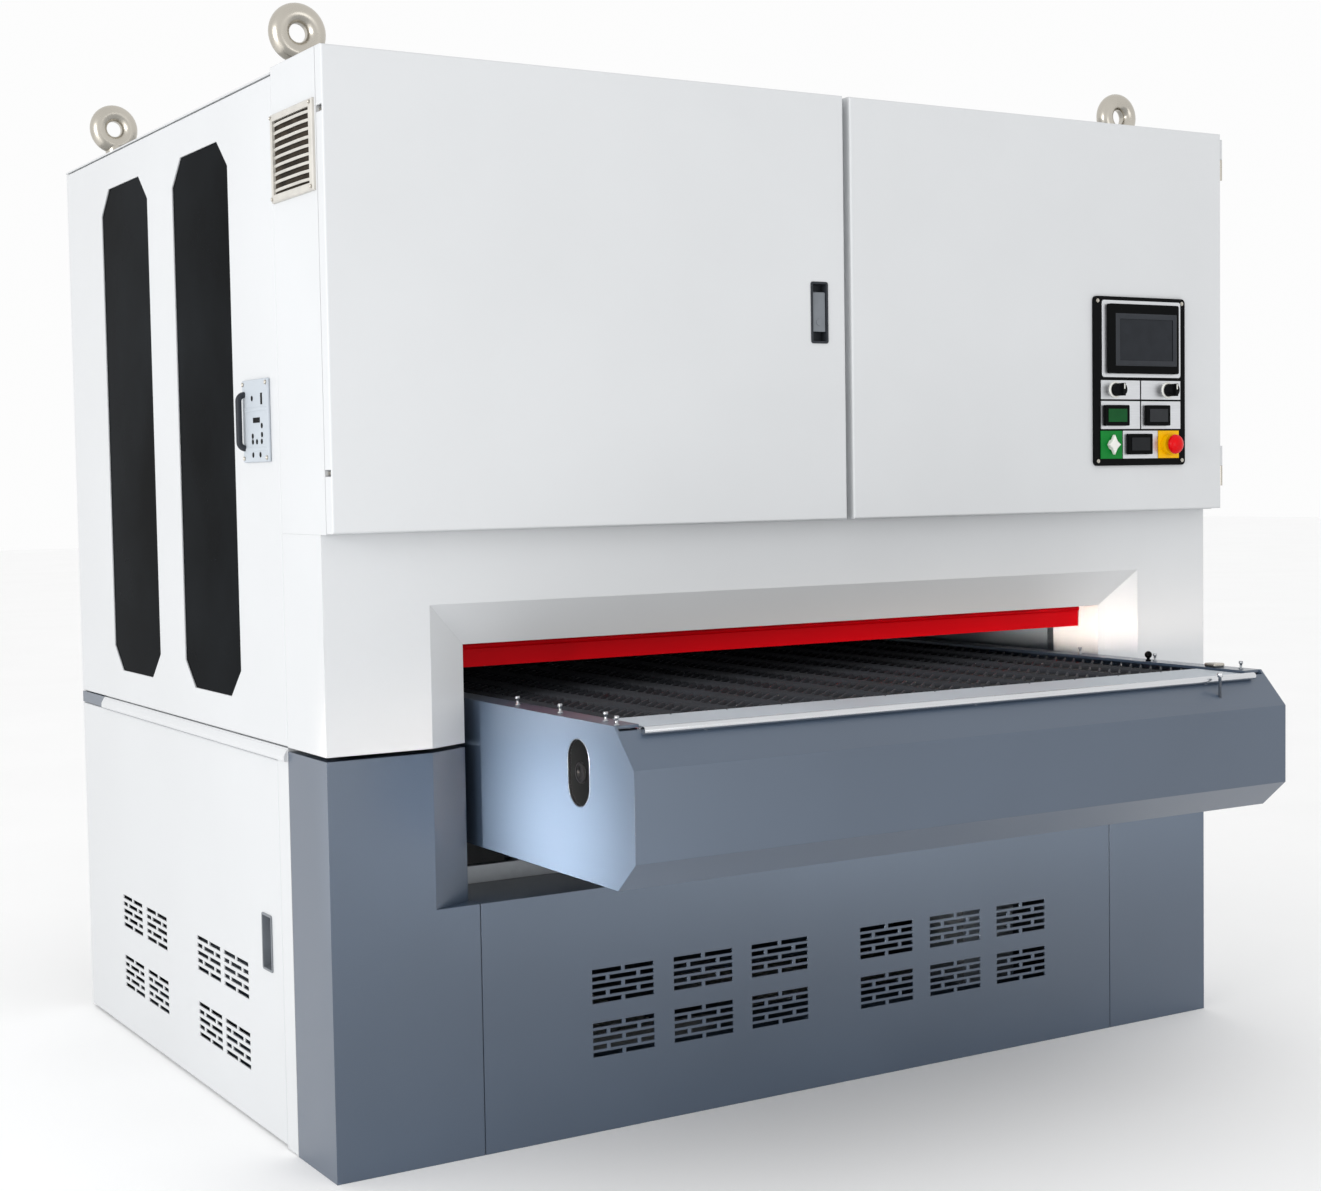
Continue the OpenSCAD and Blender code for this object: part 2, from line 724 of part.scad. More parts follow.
module right_panels() placed(WHITE) {
    t = door_t + panel_gap;
    mirror([1, 0, 0]) {
        left_leaf(seam_d + panel_gap, body_d - panel_gap, split_z, roof_z - sheet - panel_gap, t);
        left_leaf(seam_d + strip_w + panel_gap, body_d - panel_gap, panel_gap * 3, lower_door_top, t);
        latch_set();
    }
}

module dust_hoods() placed("#b8bcc0") for (d = head_d) translate([0, d + hood_d, 0]) {
    mouth = [drum_l / 2, pressure_z + pressure_r + hood_clear, drum_z + hood_rise];
    flange_top = roof_z + spigot_flange[1];
    difference() {
        hood_form(mouth, 0);
        hood_form(mouth, sheet);
    }
    difference() {
        rod_z(roof_z, flange_top, spigot_r + spigot_flange[0], 0, 0);
        rod_z(roof_z - overlap, flange_top + overlap, spigot_r - sheet, 0, 0);
    }
}
module hood_form(mouth, inset) {
    grow = inset > 0 ? overlap : 0;
    x = mouth[0] - inset;
    neck = plenum[0] - inset;
    along_y(-hood_half + inset, hood_half - inset) polygon([
        [-x, mouth[1] - grow], [x, mouth[1] - grow], [x, mouth[2]], [neck, plenum_z[0] + 2 * sheet],
        [-neck, plenum_z[0] + 2 * sheet], [-x, mouth[2]]]);
    block([-neck, -plenum[1] + inset, plenum_z[0] + inset], [neck, plenum[1] - inset, plenum_z[1] - inset]);
    rod_z(plenum_z[1] - 2 * sheet, roof_z + spigot_h + grow, spigot_r - inset, 0, 0);
}

module eye_places() for (s = [-1, 1], d = [eye_at[1], eye_at[2]]) translate([s * eye_at[0], d, 0]) children();
module lifting_eyes() placed(ZINC) eye_places() {
    difference() {
        union() {
            translate([0, 0, roof_z + eye_rise]) rotate([90, 0, 0])
                rotate_extrude() translate([eye_r, 0]) circle(eye_section);
            rod_z(roof_z, roof_z + eye_rise - eye_r, eye_neck_r, 0, 0);
        }
        rod_y(-eye_section, eye_section, eye_bore, 0, roof_z + eye_rise);
    }
    rod_z(roof_z, roof_z + eye_collar_h, eye_collar_r, 0, 0);
    rod_z(roof_z - shank_l, roof_z + overlap, shank_r, 0, 0);
}

// Fixed halves of the door hinges, with the pins of the outside ones.
bracket_h = 6;
module door_hinges() placed(STEEL) {
    for (z = front_hinge_z) difference() {
        union() {
            rod_z(z - bracket_h / 2, z + bracket_h / 2, pin_r + 1, front_pivot[0], front_pivot[1]);
            block([front_pivot[0] - 1, front_pivot[1], z - bracket_h / 2],
                  [front_pivot[0] + pin_r + 1, cabinet_front, z + bracket_h / 2]);
        }
        rod_z(z - bracket_h, z + bracket_h, pin_r - 1 + run_fit, front_pivot[0], front_pivot[1]);
    }
    for (z = right_hinge_z) {
        pinned_barrel(right_pivot, z);
        leaf_x = half_w + hinge_leaf_t;
        block([half_w + 1, right_pivot[1], z - barrel_h], [leaf_x, cabinet_front + overlap, z]);
        block([half_w, cabinet_front, z - barrel_h], [leaf_x, cabinet_front + hinge_leaf_w[0], z]);
    }
    for (z = concat(upper_hinge_z, lower_hinge_z)) {
        pinned_barrel(side_pivot, z);
        block([side_pivot[0], body_d, z - barrel_h],
              [side_pivot[0] + hinge_leaf_w[1], body_d + hinge_leaf_t, z]);
    }
}
module pinned_barrel(at, z) {
    rod_z(z - barrel_h, z, barrel_r, at[0], at[1]);
    rod_z(z - overlap, z + barrel_h - pin_short, pin_r, at[0], at[1]);
}
module free_barrel(at, z) rod_z(z + free_gap, z + barrel_h, barrel_r, at[0], at[1]);
module free_bore(at, z) rod_z(z, z + barrel_h + overlap, pin_r + run_fit, at[0], at[1]);

// Sanding heads

module head_beams() placed("#7d858f") for (d = head_d) difference() {
    union() {
        difference() {
            block([-wall_out, d - beam_half, beam_z[0]], [wall_x, d + beam_half, beam_z[1]]);
            block([-wall_out - overlap, d - beam_half + beam_wall, beam_z[0] + beam_wall],
                  [wall_x + overlap, d + beam_half - beam_wall, beam_z[1] - beam_wall]);
        }
        for (s = [-1, 1]) block([s * hanger_x - hanger_t / 2, d - beam_half, drum_z - hanger_drop],
                                [s * hanger_x + hanger_t / 2, d + beam_half, beam_z[0] + overlap]);
        rod_z(beam_z[1] - beam_wall, beam_z[1] + guide_h, guide_r, 0, d);
        block([-wall_out - lock_t, d - drum_r - lock_over, beam_z[0] + lock_in],
              [-wall_out, d + drum_r + lock_over, beam_z[1] - lock_in]);
    }
    rod_x(-hanger_x - hanger_t, hanger_x + hanger_t, drum_shaft_r + run_fit, d, drum_z);
    rod_z(beam_z[1] - 2 * beam_wall, beam_z[1] + guide_h + overlap, yoke_rod_r + run_fit, 0, d);
}

module contact_drum(k) placed("#3a3b3d") {
    lane = [belt_lane[2 * k], belt_lane[2 * k + 1]];
    roller(drum_l, drum_r, drum_wall, drum_shaft_r, -hanger_x - hanger_t / 2, lane[1], head_d[k], drum_z);
    rod_x(lane[0], lane[1], drum_pulley_r, head_d[k], drum_z);
}

module tension_yoke(k) placed("#7d858f") difference() {
    d = head_d[k];
    union() {
        block([-yoke_arm_x - yoke_arm_t / 2, d - yoke_half, yoke_z[0]],
              [yoke_arm_x + yoke_arm_t / 2, d + yoke_half, yoke_z[1]]);
        for (s = [-1, 1]) block([s * yoke_arm_x - yoke_arm_t / 2, d - yoke_half, yoke_z[0]],
                                [s * yoke_arm_x + yoke_arm_t / 2, d + yoke_half, tension_z + yoke_half]);
        rod_z(beam_z[1] - yoke_rod_in, yoke_z[0] + overlap, yoke_rod_r, 0, d);
    }
    rod_x(-half_w, half_w, tension_shaft_r + run_fit, d, tension_z);
}

module tension_roller(k) placed(STEEL)
    roller(drum_l, tension_r, roller_wall, tension_shaft_r,
           -yoke_arm_x - yoke_arm_t / 2, yoke_arm_x + yoke_arm_t / 2, head_d[k], tension_z);

module abrasive_belts() placed("#7a4a34") for (d = head_d)
    belt_loop([d, drum_z], drum_r + free_gap, [d, tension_z], tension_r + free_gap, abrasive_t,
              -abrasive_w / 2, abrasive_w / 2);

module main_motor() placed("#4f6a7d") {
    x = motor_x;
    step = 360 / motor_fins;
    ring = [for (i = [0:motor_fins - 1], p = [[0, 0.0], [1, 0.1], [1, 0.4], [0, 0.5]])
            let (r = motor_r + p[0] * motor_fin, a = (i + p[1]) * step) r * [cos(a), sin(a)]];
    difference() {
        union() {
            translate([0, head_mid, motor_z]) along_x(x[0], x[1]) polygon(ring);
            rod_x(x[0] - motor_bell, x[1] + motor_bell, motor_r - motor_bell_in, head_mid, motor_z);
            block([x[0] + motor_foot_in, head_mid - motor_foot_w / 2, rail_h + bed_plate_t],
                  [x[1] - motor_foot_in, head_mid + motor_foot_w / 2, motor_z - motor_foot_drop]);
            block([x[0] + motor_box_at, head_mid - motor_r - motor_box_out, motor_z + motor_box_z[0]],
                  [x[0] + motor_box_at + motor_box_l, head_mid, motor_z + motor_box_z[1]]);
        }
        rod_x(x[1] - motor_bore, x[1] + 2 * motor_bell, motor_shaft_r + run_fit, head_mid, motor_z);
    }
}

module motor_pulley() placed("#4a4c4f") {
    rod_x(motor_x[1] - motor_shaft_in, belt_lane[3], motor_shaft_r, head_mid, motor_z);
    rod_x(belt_lane[0], belt_lane[3], motor_pulley_r, head_mid, motor_z);
}

module v_belts() placed(BLACK) for (k = [0, 1])
    belt_loop([head_mid, motor_z], motor_pulley_r + free_gap, [head_d[k], drum_z],
              drum_pulley_r + free_gap, v_belt_t,
              belt_lane[2 * k] + v_belt_side, belt_lane[2 * k + 1] - v_belt_side);

module pressure_roller(k) placed("#2c2d2f") {
    rod_x(-drum_l / 2, drum_l / 2, pressure_r, pressure_at[k], pressure_z);
    rod_x(-wall_out, wall_out, pressure_shaft_r, pressure_at[k], pressure_z);
}

module infeed_guard() placed("#c00f18") {
    x = opening_x - 2;
    z = opening_top - guard_drop;
    block([-x, guard_d, guard_z], [x, guard_d + guard_t, z + guard_hem_r]);
    rod_x(-x, x, guard_hem_r, guard_d + guard_t / 2, z);
    rod_x(-opening_x - sheet, opening_x + sheet, pin_r, guard_d + guard_t / 2, z);
}

// Table lift

module jack_places() sides() for (at = lift_at) translate([at[0], at[1], 0]) children();
module screw_jacks() placed("#5d6672") jack_places() difference() {
    block([-jack_w / 2, -rail_w, rail_h], [jack_w / 2, rail_w, jack_top]);
    rod_z(rail_h - overlap, jack_top + overlap, screw_r + run_fit, 0, 0);
}
module lift_screws() placed(STEEL) jack_places() rod_z(screw_foot, cross_z[0], screw_r, 0, 0);

// Conveyor table

// The table's end in outline, and the lower line that the bent cover between the side plates follows.
end_path = [[-table_front + nose_upper[0], table_z], [-table_front, table_z - nose_upper[1]],
            [-table_front, table_low + nose_lower[1]], [-table_front + nose_lower[0], table_low]];
nose_path = [[-table_front + nose_upper[0] + nose_back, nose_z], [-table_front + nose_turn, nose_z],
             end_path[1], end_path[2], end_path[3], end_path[3] + [nose_under, 0]];
function rearward(p) = [for (q = p) [body_d + table_rear - table_front - q[0], q[1]]];
function reversed(p) = [for (i = [len(p) - 1:-1:0]) p[i]];
slot_at = [idler_y, roller_z];
slot_size = [76, 118];
module table_housing() placed(BLUE_GREY) difference() {
    union() {
        sides() {
            along_x(table_x - plate_t, table_x)
                polygon(concat(end_path, reversed(rearward(end_path))));
            block([flange_x, end_path[0][0], table_z - flange_t],
                  [table_x - overlap, rearward(end_path)[0][0], table_z]);
            for (y = [idler_y, drive_y])
                block([lug_in, y - lug_w / 2, roller_z - lug_h / 2],
                      [table_x - plate_t + overlap, y + lug_w / 2, roller_z + lug_h / 2]);
        }
        along_x(-table_x + overlap, table_x - overlap) polygon(strip(nose_path, sheet));
        along_x(-table_x + overlap, table_x - overlap) polygon(strip(reversed(rearward(nose_path)), sheet));
        bed_x = table_x - overlap;
        bed_top = roller_z + conveyor_r;
        bed_y = [idler_y + conveyor_r + bed_gap, drive_y - conveyor_r - bed_gap];
        block([-bed_x, bed_y[0], bed_top - bed_t], [bed_x, bed_y[1], bed_top]);
        for (i = [0:ribs - 1]) {
            y = bed_y[0] + rib_in + i * (bed_y[1] - bed_y[0] - 2 * rib_in) / (ribs - 1);
            block([-bed_x, y - rib_w / 2, bed_top - bed_t - rib_h],
                  [bed_x, y + rib_w / 2, bed_top - bed_t + overlap]);
        }
        for (at = lift_at) block([-bed_x, at[1] - cross_w / 2, cross_z[0]],
                                 [bed_x, at[1] + cross_w / 2, cross_z[1]]);
    }
    sides() along_x(table_x - plate_t - overlap, table_x + overlap) translate(slot_at) polygon(concat(
        arc([0, slot_size[1] / 2 - slot_size[0] / 2], slot_size[0] / 2, 0, 180, 16),
        arc([0, slot_size[0] / 2 - slot_size[1] / 2], slot_size[0] / 2, 180, 360, 16)));
    for (y = [idler_y, drive_y]) rod_x(-half_w, half_w, conveyor_shaft_r + run_fit, y, roller_z);
    for (x = bar_pins) on_chamfer(x) rod_z(-2 * sheet, overlap, bar_pin_r + run_fit, 0, 0);
}

module nose_plate() placed("#d2d4d6")
    block([-bar_x, nose_path[1][0] + nose_plate_in[0], nose_z],
          [bar_x, nose_path[0][0] + nose_plate_in[1], nose_z + nose_t]);

// Places a piece at the trip bar's line on the nose's upper chamfer, with Z standing off the sheet.
module on_chamfer(x) translate([x, end_path[0][0], end_path[0][1]]) rotate([chamfer_tilt, 0, 0])
    translate([0, -bar_down, 0]) children();
module trip_bar() placed("#d8dadb") {
    on_chamfer(0) rod_x(-bar_x, bar_x, bar_r, 0, bar_off);
    for (x = bar_pins) on_chamfer(x) rod_z(-2 * sheet, bar_off, bar_pin_r, 0, 0);
}

module conveyor_belt() placed("#26272a")
    belt_loop([idler_y, roller_z], conveyor_r + free_gap, [drive_y, roller_z], conveyor_r + free_gap,
              belt_t, -belt_w / 2, belt_w / 2);

module drive_roller() placed("#55585c")
    roller(belt_w, conveyor_r, roller_wall, conveyor_shaft_r,
           -table_x + plate_t, table_x + drive_shaft_out, drive_y, roller_z);

module idler_roller() placed(STEEL)
    roller(belt_w, conveyor_r, roller_wall, conveyor_shaft_r,
           -table_x + plate_t, table_x - plate_t, idler_y, roller_z);

module conveyor_gearmotor() placed("#4f6a7d") difference() {
    union() {
        motor_top = roller_z + gearbox_z[0];
        cowl_top = motor_top - gear_motor_l;
        block([table_x, drive_y - gearbox[1] / 2, motor_top],
              [table_x + gearbox[0], drive_y + gearbox[1] / 2, roller_z + gearbox_z[1]]);
        rod_z(cowl_top, motor_top + 5 * overlap, gear_motor_r, table_x + gear_off, drive_y);
        rod_z(cowl_top - gear_cowl_l, cowl_top + overlap, gear_cowl_r, table_x + gear_off, drive_y);
    }
    rod_x(table_x - overlap, table_x + drive_bore_l, conveyor_shaft_r + run_fit, drive_y, roller_z);
}

// Cabinet doors and their fittings

module door_front_left() placed(WHITE) {
    at = front_pivot;
    difference() {
        translate([0, -cabinet_proj, 0])
            leaf(-half_w, split_x - split_gap / 2, cabinet_z + panel_gap, cabinet_top, door_t);
        for (z = front_hinge_z) block([-half_w - overlap, at[1] - 5.5, z - bracket_h],
                                      [at[0], -cabinet_proj + door_t + overlap, z + bracket_h]);
        translate([handle_x, 0, handle_z]) along_y(-cabinet_proj - overlap, -cabinet_proj + sheet + overlap)
            square([handle_w - 4, handle_h - 4], center = true);
    }
    for (z = front_hinge_z, s = [-1, 1]) {
        lug_z = z + s * (bracket_h + 2);
        block([-half_w + sheet - overlap, -cabinet_proj + sheet - overlap, lug_z - 2],
              [at[0] + 8, at[1] + 6, lug_z + 2]);
    }
    for (z = front_hinge_z) rod_z(z - bracket_h - 4, z + bracket_h + 4, pin_r - 1, at[0], at[1]);
}

// A flush handle: a rim on the door's face and a cup behind it. Drawn facing -Y about the origin.
module flush_cup(w, h) {
    wall = 2;
    rim = 2.5;
    cup = [w - 2 * rim, h - 2 * rim];
    difference() {
        union() {
            along_y(-wall, 0) polygon(rounded(w, h, 2 * rim));
            along_y(-overlap, cup_depth) square(cup, center = true);
        }
        along_y(-wall - overlap, cup_depth - wall)
            square(cup - [2, 2] * wall, center = true);
    }
}
paddle_z = 38;
paddle_pin_r = 2.5;
module front_handle() placed("#4a4d52") translate([handle_x, -cabinet_proj, handle_z]) difference() {
    flush_cup(handle_w, handle_h);
    rod_x(-handle_w, handle_w, paddle_pin_r + run_fit, 5, paddle_z);
}
module front_paddle() placed("#8d9196") translate([handle_x, -cabinet_proj, handle_z]) {
    w = handle_w - 12;
    block([-w / 2, 1, -paddle_z], [w / 2, 5, paddle_z]);
    rod_x(-w / 2, w / 2, 4, 5, paddle_z);
    rod_x(-handle_w / 2 + 3, handle_w / 2 - 3, paddle_pin_r, 5, paddle_z);
    rod_y(0, 4, 7, 0, -paddle_z / 2);
}

module door_front_right() placed(WHITE) difference() {
    union() {
        translate([0, -cabinet_proj, 0])
            leaf(split_x + split_gap / 2, half_w, cabinet_z + panel_gap, cabinet_top, door_t);
        for (z = right_hinge_z) {
            free_barrel(right_pivot, z);
            block([half_w - overlap, -cabinet_proj + fold_r, z + free_gap],
                  [half_w + hinge_leaf_t, right_pivot[1], z + barrel_h]);
        }
    }
    for (z = right_hinge_z) free_bore(right_pivot, z);
}

// Places a control's middle on the panel, facing the operator.
module on_panel(at, face) translate([at[0], face, at[1]]) children();
module flat_plate(x0, x1, z0, z1) block([x0, legend_face, z0], [x1, panel_face, z1]);

module control_plate() placed(BLACK) on_panel(panel_at, 0)
    along_y(panel_face, -cabinet_proj) polygon(rounded(panel_w, panel_h, plate_corner));

row_z = [for (row = [[-172, -110], [-106, -44], [-40, 2], [9, 179]]) [panel_z + row[0], panel_z + row[1]]];
module legend_plates() placed("#c6c9cd") {
    half = cell_gap / 2;
    on_panel([screen_at[0] - screen_cell[1], (row_z[3][0] + row_z[3][1]) / 2], 0)
        along_y(legend_face, panel_face)
            polygon(rounded(screen_cell[0], row_z[3][1] - row_z[3][0], screen_cell[2]));
    for (z = [row_z[1], row_z[2]]) {
        flat_plate(cell_x[0], cell_x[1] - half, z[0], z[1]);
        flat_plate(cell_x[1] + half, cell_x[2], z[0], z[1]);
    }
    flat_plate(direction_at[0] + tile[0] / 2 + half, stop_at[0] - tile[0] / 2 - half,
               row_z[0][0], row_z[0][1]);
}

module control_bezels() placed("#17181a") {
    on_panel(screen_at + bezel_off, 0) difference() {
        along_y(legend_face - bezel_t, legend_face) polygon(rounded(hmi_size[0], hmi_size[1], 5));
        translate([-bezel_off[0], 0, -bezel_off[1]])
            along_y(legend_face - bezel_t - overlap, legend_face - bezel_t + 3)
                square(screen_size, center = true);
    }
    for (at = [run_at, reverse_at, reset_at]) on_panel(at, 0) difference() {
        along_y(legend_face - bezel_t, legend_face) polygon(rounded(button_size[0], button_size[1], 3));
        along_y(legend_face - bezel_t - overlap, legend_face - 1)
            square(button_size - [2, 2] * bezel_rim, center = true);
    }
}
module hmi_screen() placed("#2a2d33") on_panel(screen_at, 0)
    along_y(legend_face - bezel_t + 1, legend_face - bezel_t + 3) square(screen_size, center = true);
module start_plate() placed("#128a2e")
    flat_plate(direction_at[0] - tile[0] / 2, direction_at[0] + tile[0] / 2, row_z[0][0], row_z[0][1]);
module estop_plate() placed("#f2c200") difference() {
    union() {
        flat_plate(stop_at[0] - tile[0] / 2, stop_at[0] + tile[0] / 2, row_z[0][0], row_z[0][1]);
        rod_y(legend_face - collar_h, legend_face + 1, collar_r, stop_at[0], stop_at[1]);
    }
    rod_y(legend_face - collar_h - overlap, panel_face - 0.5, stop_stem_r + run_fit, stop_at[0], stop_at[1]);
}

module selector(at) on_panel(at, legend_face) {
    rod_y(-knob_h, 0, knob_r, 0, 0);
    block([-grip[0] / 2, -knob_h - grip[1], -knob_r], [grip[0] / 2, -knob_h + overlap, knob_r]);
}
module selector_left() placed("#202124") selector(selector_at[0]);
module selector_right() placed("#202124") selector(selector_at[1]);

module button(at) on_panel(at, 0)
    along_y(legend_face - bezel_t - 1, legend_face - 1 - button_travel - free_gap)
        square(button_size - [2, 2] * (bezel_rim + free_gap), center = true);
module button_run() placed("#0f7a32") button(run_at);
module button_reverse() placed("#55585c") button(reverse_at);
module button_reset() placed("#3a3c40") button(reset_at);

module direction_knob() placed("#f1f1ee") on_panel(direction_at, legend_face) {
    x = star_half[0];
    z = star_half[1];
    rod_y(-star_neck[1], 0, star_neck[0], 0, 0);
    along_y(star_y[0], star_y[1]) polygon([[0, z], [x, 0], [0, -z], [-x, 0]]);
}

module estop_button() placed("#d4121a") on_panel(stop_at, legend_face) {
    out = collar_h + stop_travel + free_gap;
    rod_y(-out - overlap, legend_t - 1 - stop_travel, stop_stem_r, 0, 0);
    translate([0, -out, 0]) rotate([90, 0, 0]) rotate_extrude() polygon(concat(
        [[0, 0], [stop_r - stop_edge, 0]], arc([stop_r - stop_edge, stop_edge], stop_edge, 270, 360, 4),
        [for (a = [15:15:90]) [stop_r * cos(a), stop_edge + (stop_head_h - stop_edge) * sin(a)]]));
}

// Side doors and their fittings

module window_cuts(grow) for (d = head_d) polygon(cut_corners(
    d - window_w / 2 - grow, d + window_w / 2 + grow,
    window_z - grow, window_z + window_h + grow, window_cut));

module hinged_left_leaf(y0, z0, z1, hinge_z) difference() {
    union() {
        left_leaf(y0, body_d - panel_gap, z0, z1, door_t);
        for (z = hinge_z) {
            free_barrel(side_pivot, z);
            block([-half_w + fold_r, body_d - panel_gap - overlap, z + free_gap],
                  [side_pivot[0], body_d + hinge_leaf_t, z + barrel_h]);
        }
    }
    for (z = hinge_z) free_bore(side_pivot, z);
}

module side_door_upper() placed(WHITE) difference() {
    hinged_left_leaf(seam_d + panel_gap, split_z, roof_z - sheet - panel_gap, upper_hinge_z);
    along_x(-half_w - overlap, -half_w + sheet + overlap) window_cuts(0);
}
module side_windows() placed("#20242a") along_x(-half_w + sheet, -half_w + sheet + 5) window_cuts(20);

module side_latch() placed(ZINC) latch_set();
module latch_set() {
    along_x(-half_w - latch_t, -half_w) translate(latch_at) polygon(rounded(latch_size[0], latch_size[1], 8));
    translate([-latch_t, 0, 0]) bow();
}
// A bow handle standing off the left side.
module bow() {
    x = -half_w - bow_reach + bow_r;
    z = [latch_at[1] - bow_h / 2, latch_at[1] + bow_h / 2];
    rod_z(z[0] + bow_r, z[1] - bow_r, bow_r, x, bow_d);
    for (end = [z[0] + bow_r, z[1] - bow_r]) {
        rod_x(x, -half_w, bow_r, bow_d, end);
        translate([x, bow_d, end]) sphere(bow_r);
    }
}

side_vent_w = 145;
side_vent_at = [[442, 609], [961, 1138]];
side_vent_z = [108, 251];
side_slot_pitch = 16.3;
module side_door_lower() placed(WHITE) difference() {
    hinged_left_leaf(seam_d + strip_w + panel_gap, panel_gap * 3, lower_door_top, lower_hinge_z);
    along_x(-half_w - overlap, -half_w + sheet + overlap)
        for (group = side_vent_at, y = group, z = side_vent_z)
            translate([y, z]) vent_block(side_vent_w, side_slot_pitch);
    along_x(-half_w - overlap, -half_w + sheet + overlap) translate(lower_handle_at)
        square(lower_handle_size - [4, 4], center = true);
}
module lower_handle() placed("#8d9196") translate([-half_w, lower_handle_at[0], lower_handle_at[1]])
    rotate([0, 0, -90]) flush_cup(lower_handle_size[0], lower_handle_size[1]);

base_frame();
upper_frame();
frame_walls();
front_columns();
front_lower_panel();
fascia();
cabinet_shell();
switchgear();
fan_grille();
roof_panel();
rear_panels();
right_panels();
dust_hoods();
lifting_eyes();
door_hinges();
head_beams();
abrasive_belts();
main_motor();
v_belts();
screw_jacks();
infeed_guard();
door_front_left();
front_handle();
front_paddle();
door_front_right();
control_plate();
legend_plates();
control_bezels();
hmi_screen();
start_plate();
estop_plate();
selector_left();
selector_right();
button_run();
button_reverse();
button_reset();
direction_knob();
estop_button();
side_door_upper();
side_windows();
side_latch();
side_door_lower();
lower_handle();
contact_drum(0);  // contact_drum_1
contact_drum(1);  // contact_drum_2
tension_yoke(0);  // tension_yoke_1
tension_yoke(1);  // tension_yoke_2
tension_roller(0);  // tension_roller_1
tension_roller(1);  // tension_roller_2
motor_pulley();
pressure_roller(0);  // pressure_roller_1
pressure_roller(1);  // pressure_roller_2
table_housing();
nose_plate();
conveyor_belt();
drive_roller();
idler_roller();
trip_bar();
lift_screws();
conveyor_gearmotor();
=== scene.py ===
# %% [markdown]
# # Wide belt sander
# A wide belt sander flattens boards: a rubber belt carries them under two sanding heads inside a sheet
# steel casing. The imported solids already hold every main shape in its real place. This lesson adds what
# the eye looks for after that: the camera, the finish of each surface, the small pieces that the solids
# leave out, and the light.

# %% Frame and units
import json
import math

import bmesh
import bpy
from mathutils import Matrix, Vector


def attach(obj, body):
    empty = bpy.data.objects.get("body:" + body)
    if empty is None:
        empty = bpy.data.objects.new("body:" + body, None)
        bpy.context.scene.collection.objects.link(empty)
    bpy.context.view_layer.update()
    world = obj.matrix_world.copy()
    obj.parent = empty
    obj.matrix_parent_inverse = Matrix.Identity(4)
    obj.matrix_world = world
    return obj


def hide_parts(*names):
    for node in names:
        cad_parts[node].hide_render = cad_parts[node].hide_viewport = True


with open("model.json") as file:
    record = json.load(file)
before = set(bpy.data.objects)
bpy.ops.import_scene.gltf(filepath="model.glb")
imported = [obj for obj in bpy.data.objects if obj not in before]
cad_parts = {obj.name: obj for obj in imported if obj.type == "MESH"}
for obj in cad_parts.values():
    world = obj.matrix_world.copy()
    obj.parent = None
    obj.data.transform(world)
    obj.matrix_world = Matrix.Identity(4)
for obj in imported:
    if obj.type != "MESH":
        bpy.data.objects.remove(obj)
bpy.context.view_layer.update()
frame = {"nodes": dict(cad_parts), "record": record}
NODES = frame["nodes"]
MM = 0.001
FASCIA_Y = -0.686


def at(x, d, z):
    """A point in metres from millimetres across from the middle, behind the fascia and above the floor."""
    return Vector((x * MM, FASCIA_Y + d * MM, z * MM))


print("solids loaded:", len(NODES))

# %% [markdown]
# ## Camera
# The machine was photographed from its front left corner at chest height. The lens and the place were
# fitted to the casing's straight edges, so the render can be laid over the photograph. Shift and depth
# of field stay off, so the same camera also works from other sides.

# %% Camera
camera = bpy.data.objects.new("camera", bpy.data.cameras.new("camera"))
camera.data.sensor_fit = "HORIZONTAL"
camera.data.sensor_width = 36.0
camera.data.lens = 56.137
camera.location = (-2.4939, -4.1558, 1.2762)
camera.rotation_euler = [math.radians(a) for a in (86.766, 0.944, -31.275)]
bpy.context.scene.collection.objects.link(camera)
bpy.context.scene.camera = camera
print("lens:", camera.data.lens, "mm")

# %% [markdown]
# ## A tool for finishes
# A picture of paint could be laid on each surface, but it would stretch and show its edges. Each finish
# is a node tree on object coordinates instead, so a pattern keeps its size in metres and stays on the
# piece when it moves. One function adds any node. A second one builds what most workshop surfaces
# share: a slow drift of tone, gloss that varies with it, a fine relief, and edges that catch the light
# as if they were rounded. The sizes are given in millimetres and turned into noise scales.


# %% Colours and nodes
def linear(code):
    """An sRGB hex colour as linear red, green, blue and alpha."""
    parts = [int(code[i : i + 2], 16) / 255 for i in (1, 3, 5)]
    return [c / 12.92 if c <= 0.04045 else ((c + 0.055) / 1.055) ** 2.4 for c in parts] + [1.0]


def add_node(tree, kind, inputs=None, **settings):
    """Adds a node: its settings first, then a value or another node's output for each named input."""
    made = tree.nodes.new(kind)
    for key, value in settings.items():
        setattr(made, key, value)
    for socket, value in (inputs or {}).items():
        if isinstance(value, bpy.types.NodeSocket):
            tree.links.new(value, made.inputs[socket])
        else:
            made.inputs[socket].default_value = value
    return made


print("mid grey in linear light:", round(linear("#808080")[0], 3))

# %% Finish
# The mix node keeps sockets for every data type, and these are its colour ones.
MIX_FACTOR, MIX_A, MIX_B, MIX_RESULT = 0, 6, 7, 2
# Noise seldom leaves this range, which is stretched to the full one.
NOISE_LOW, NOISE_HIGH = 0.3, 0.7


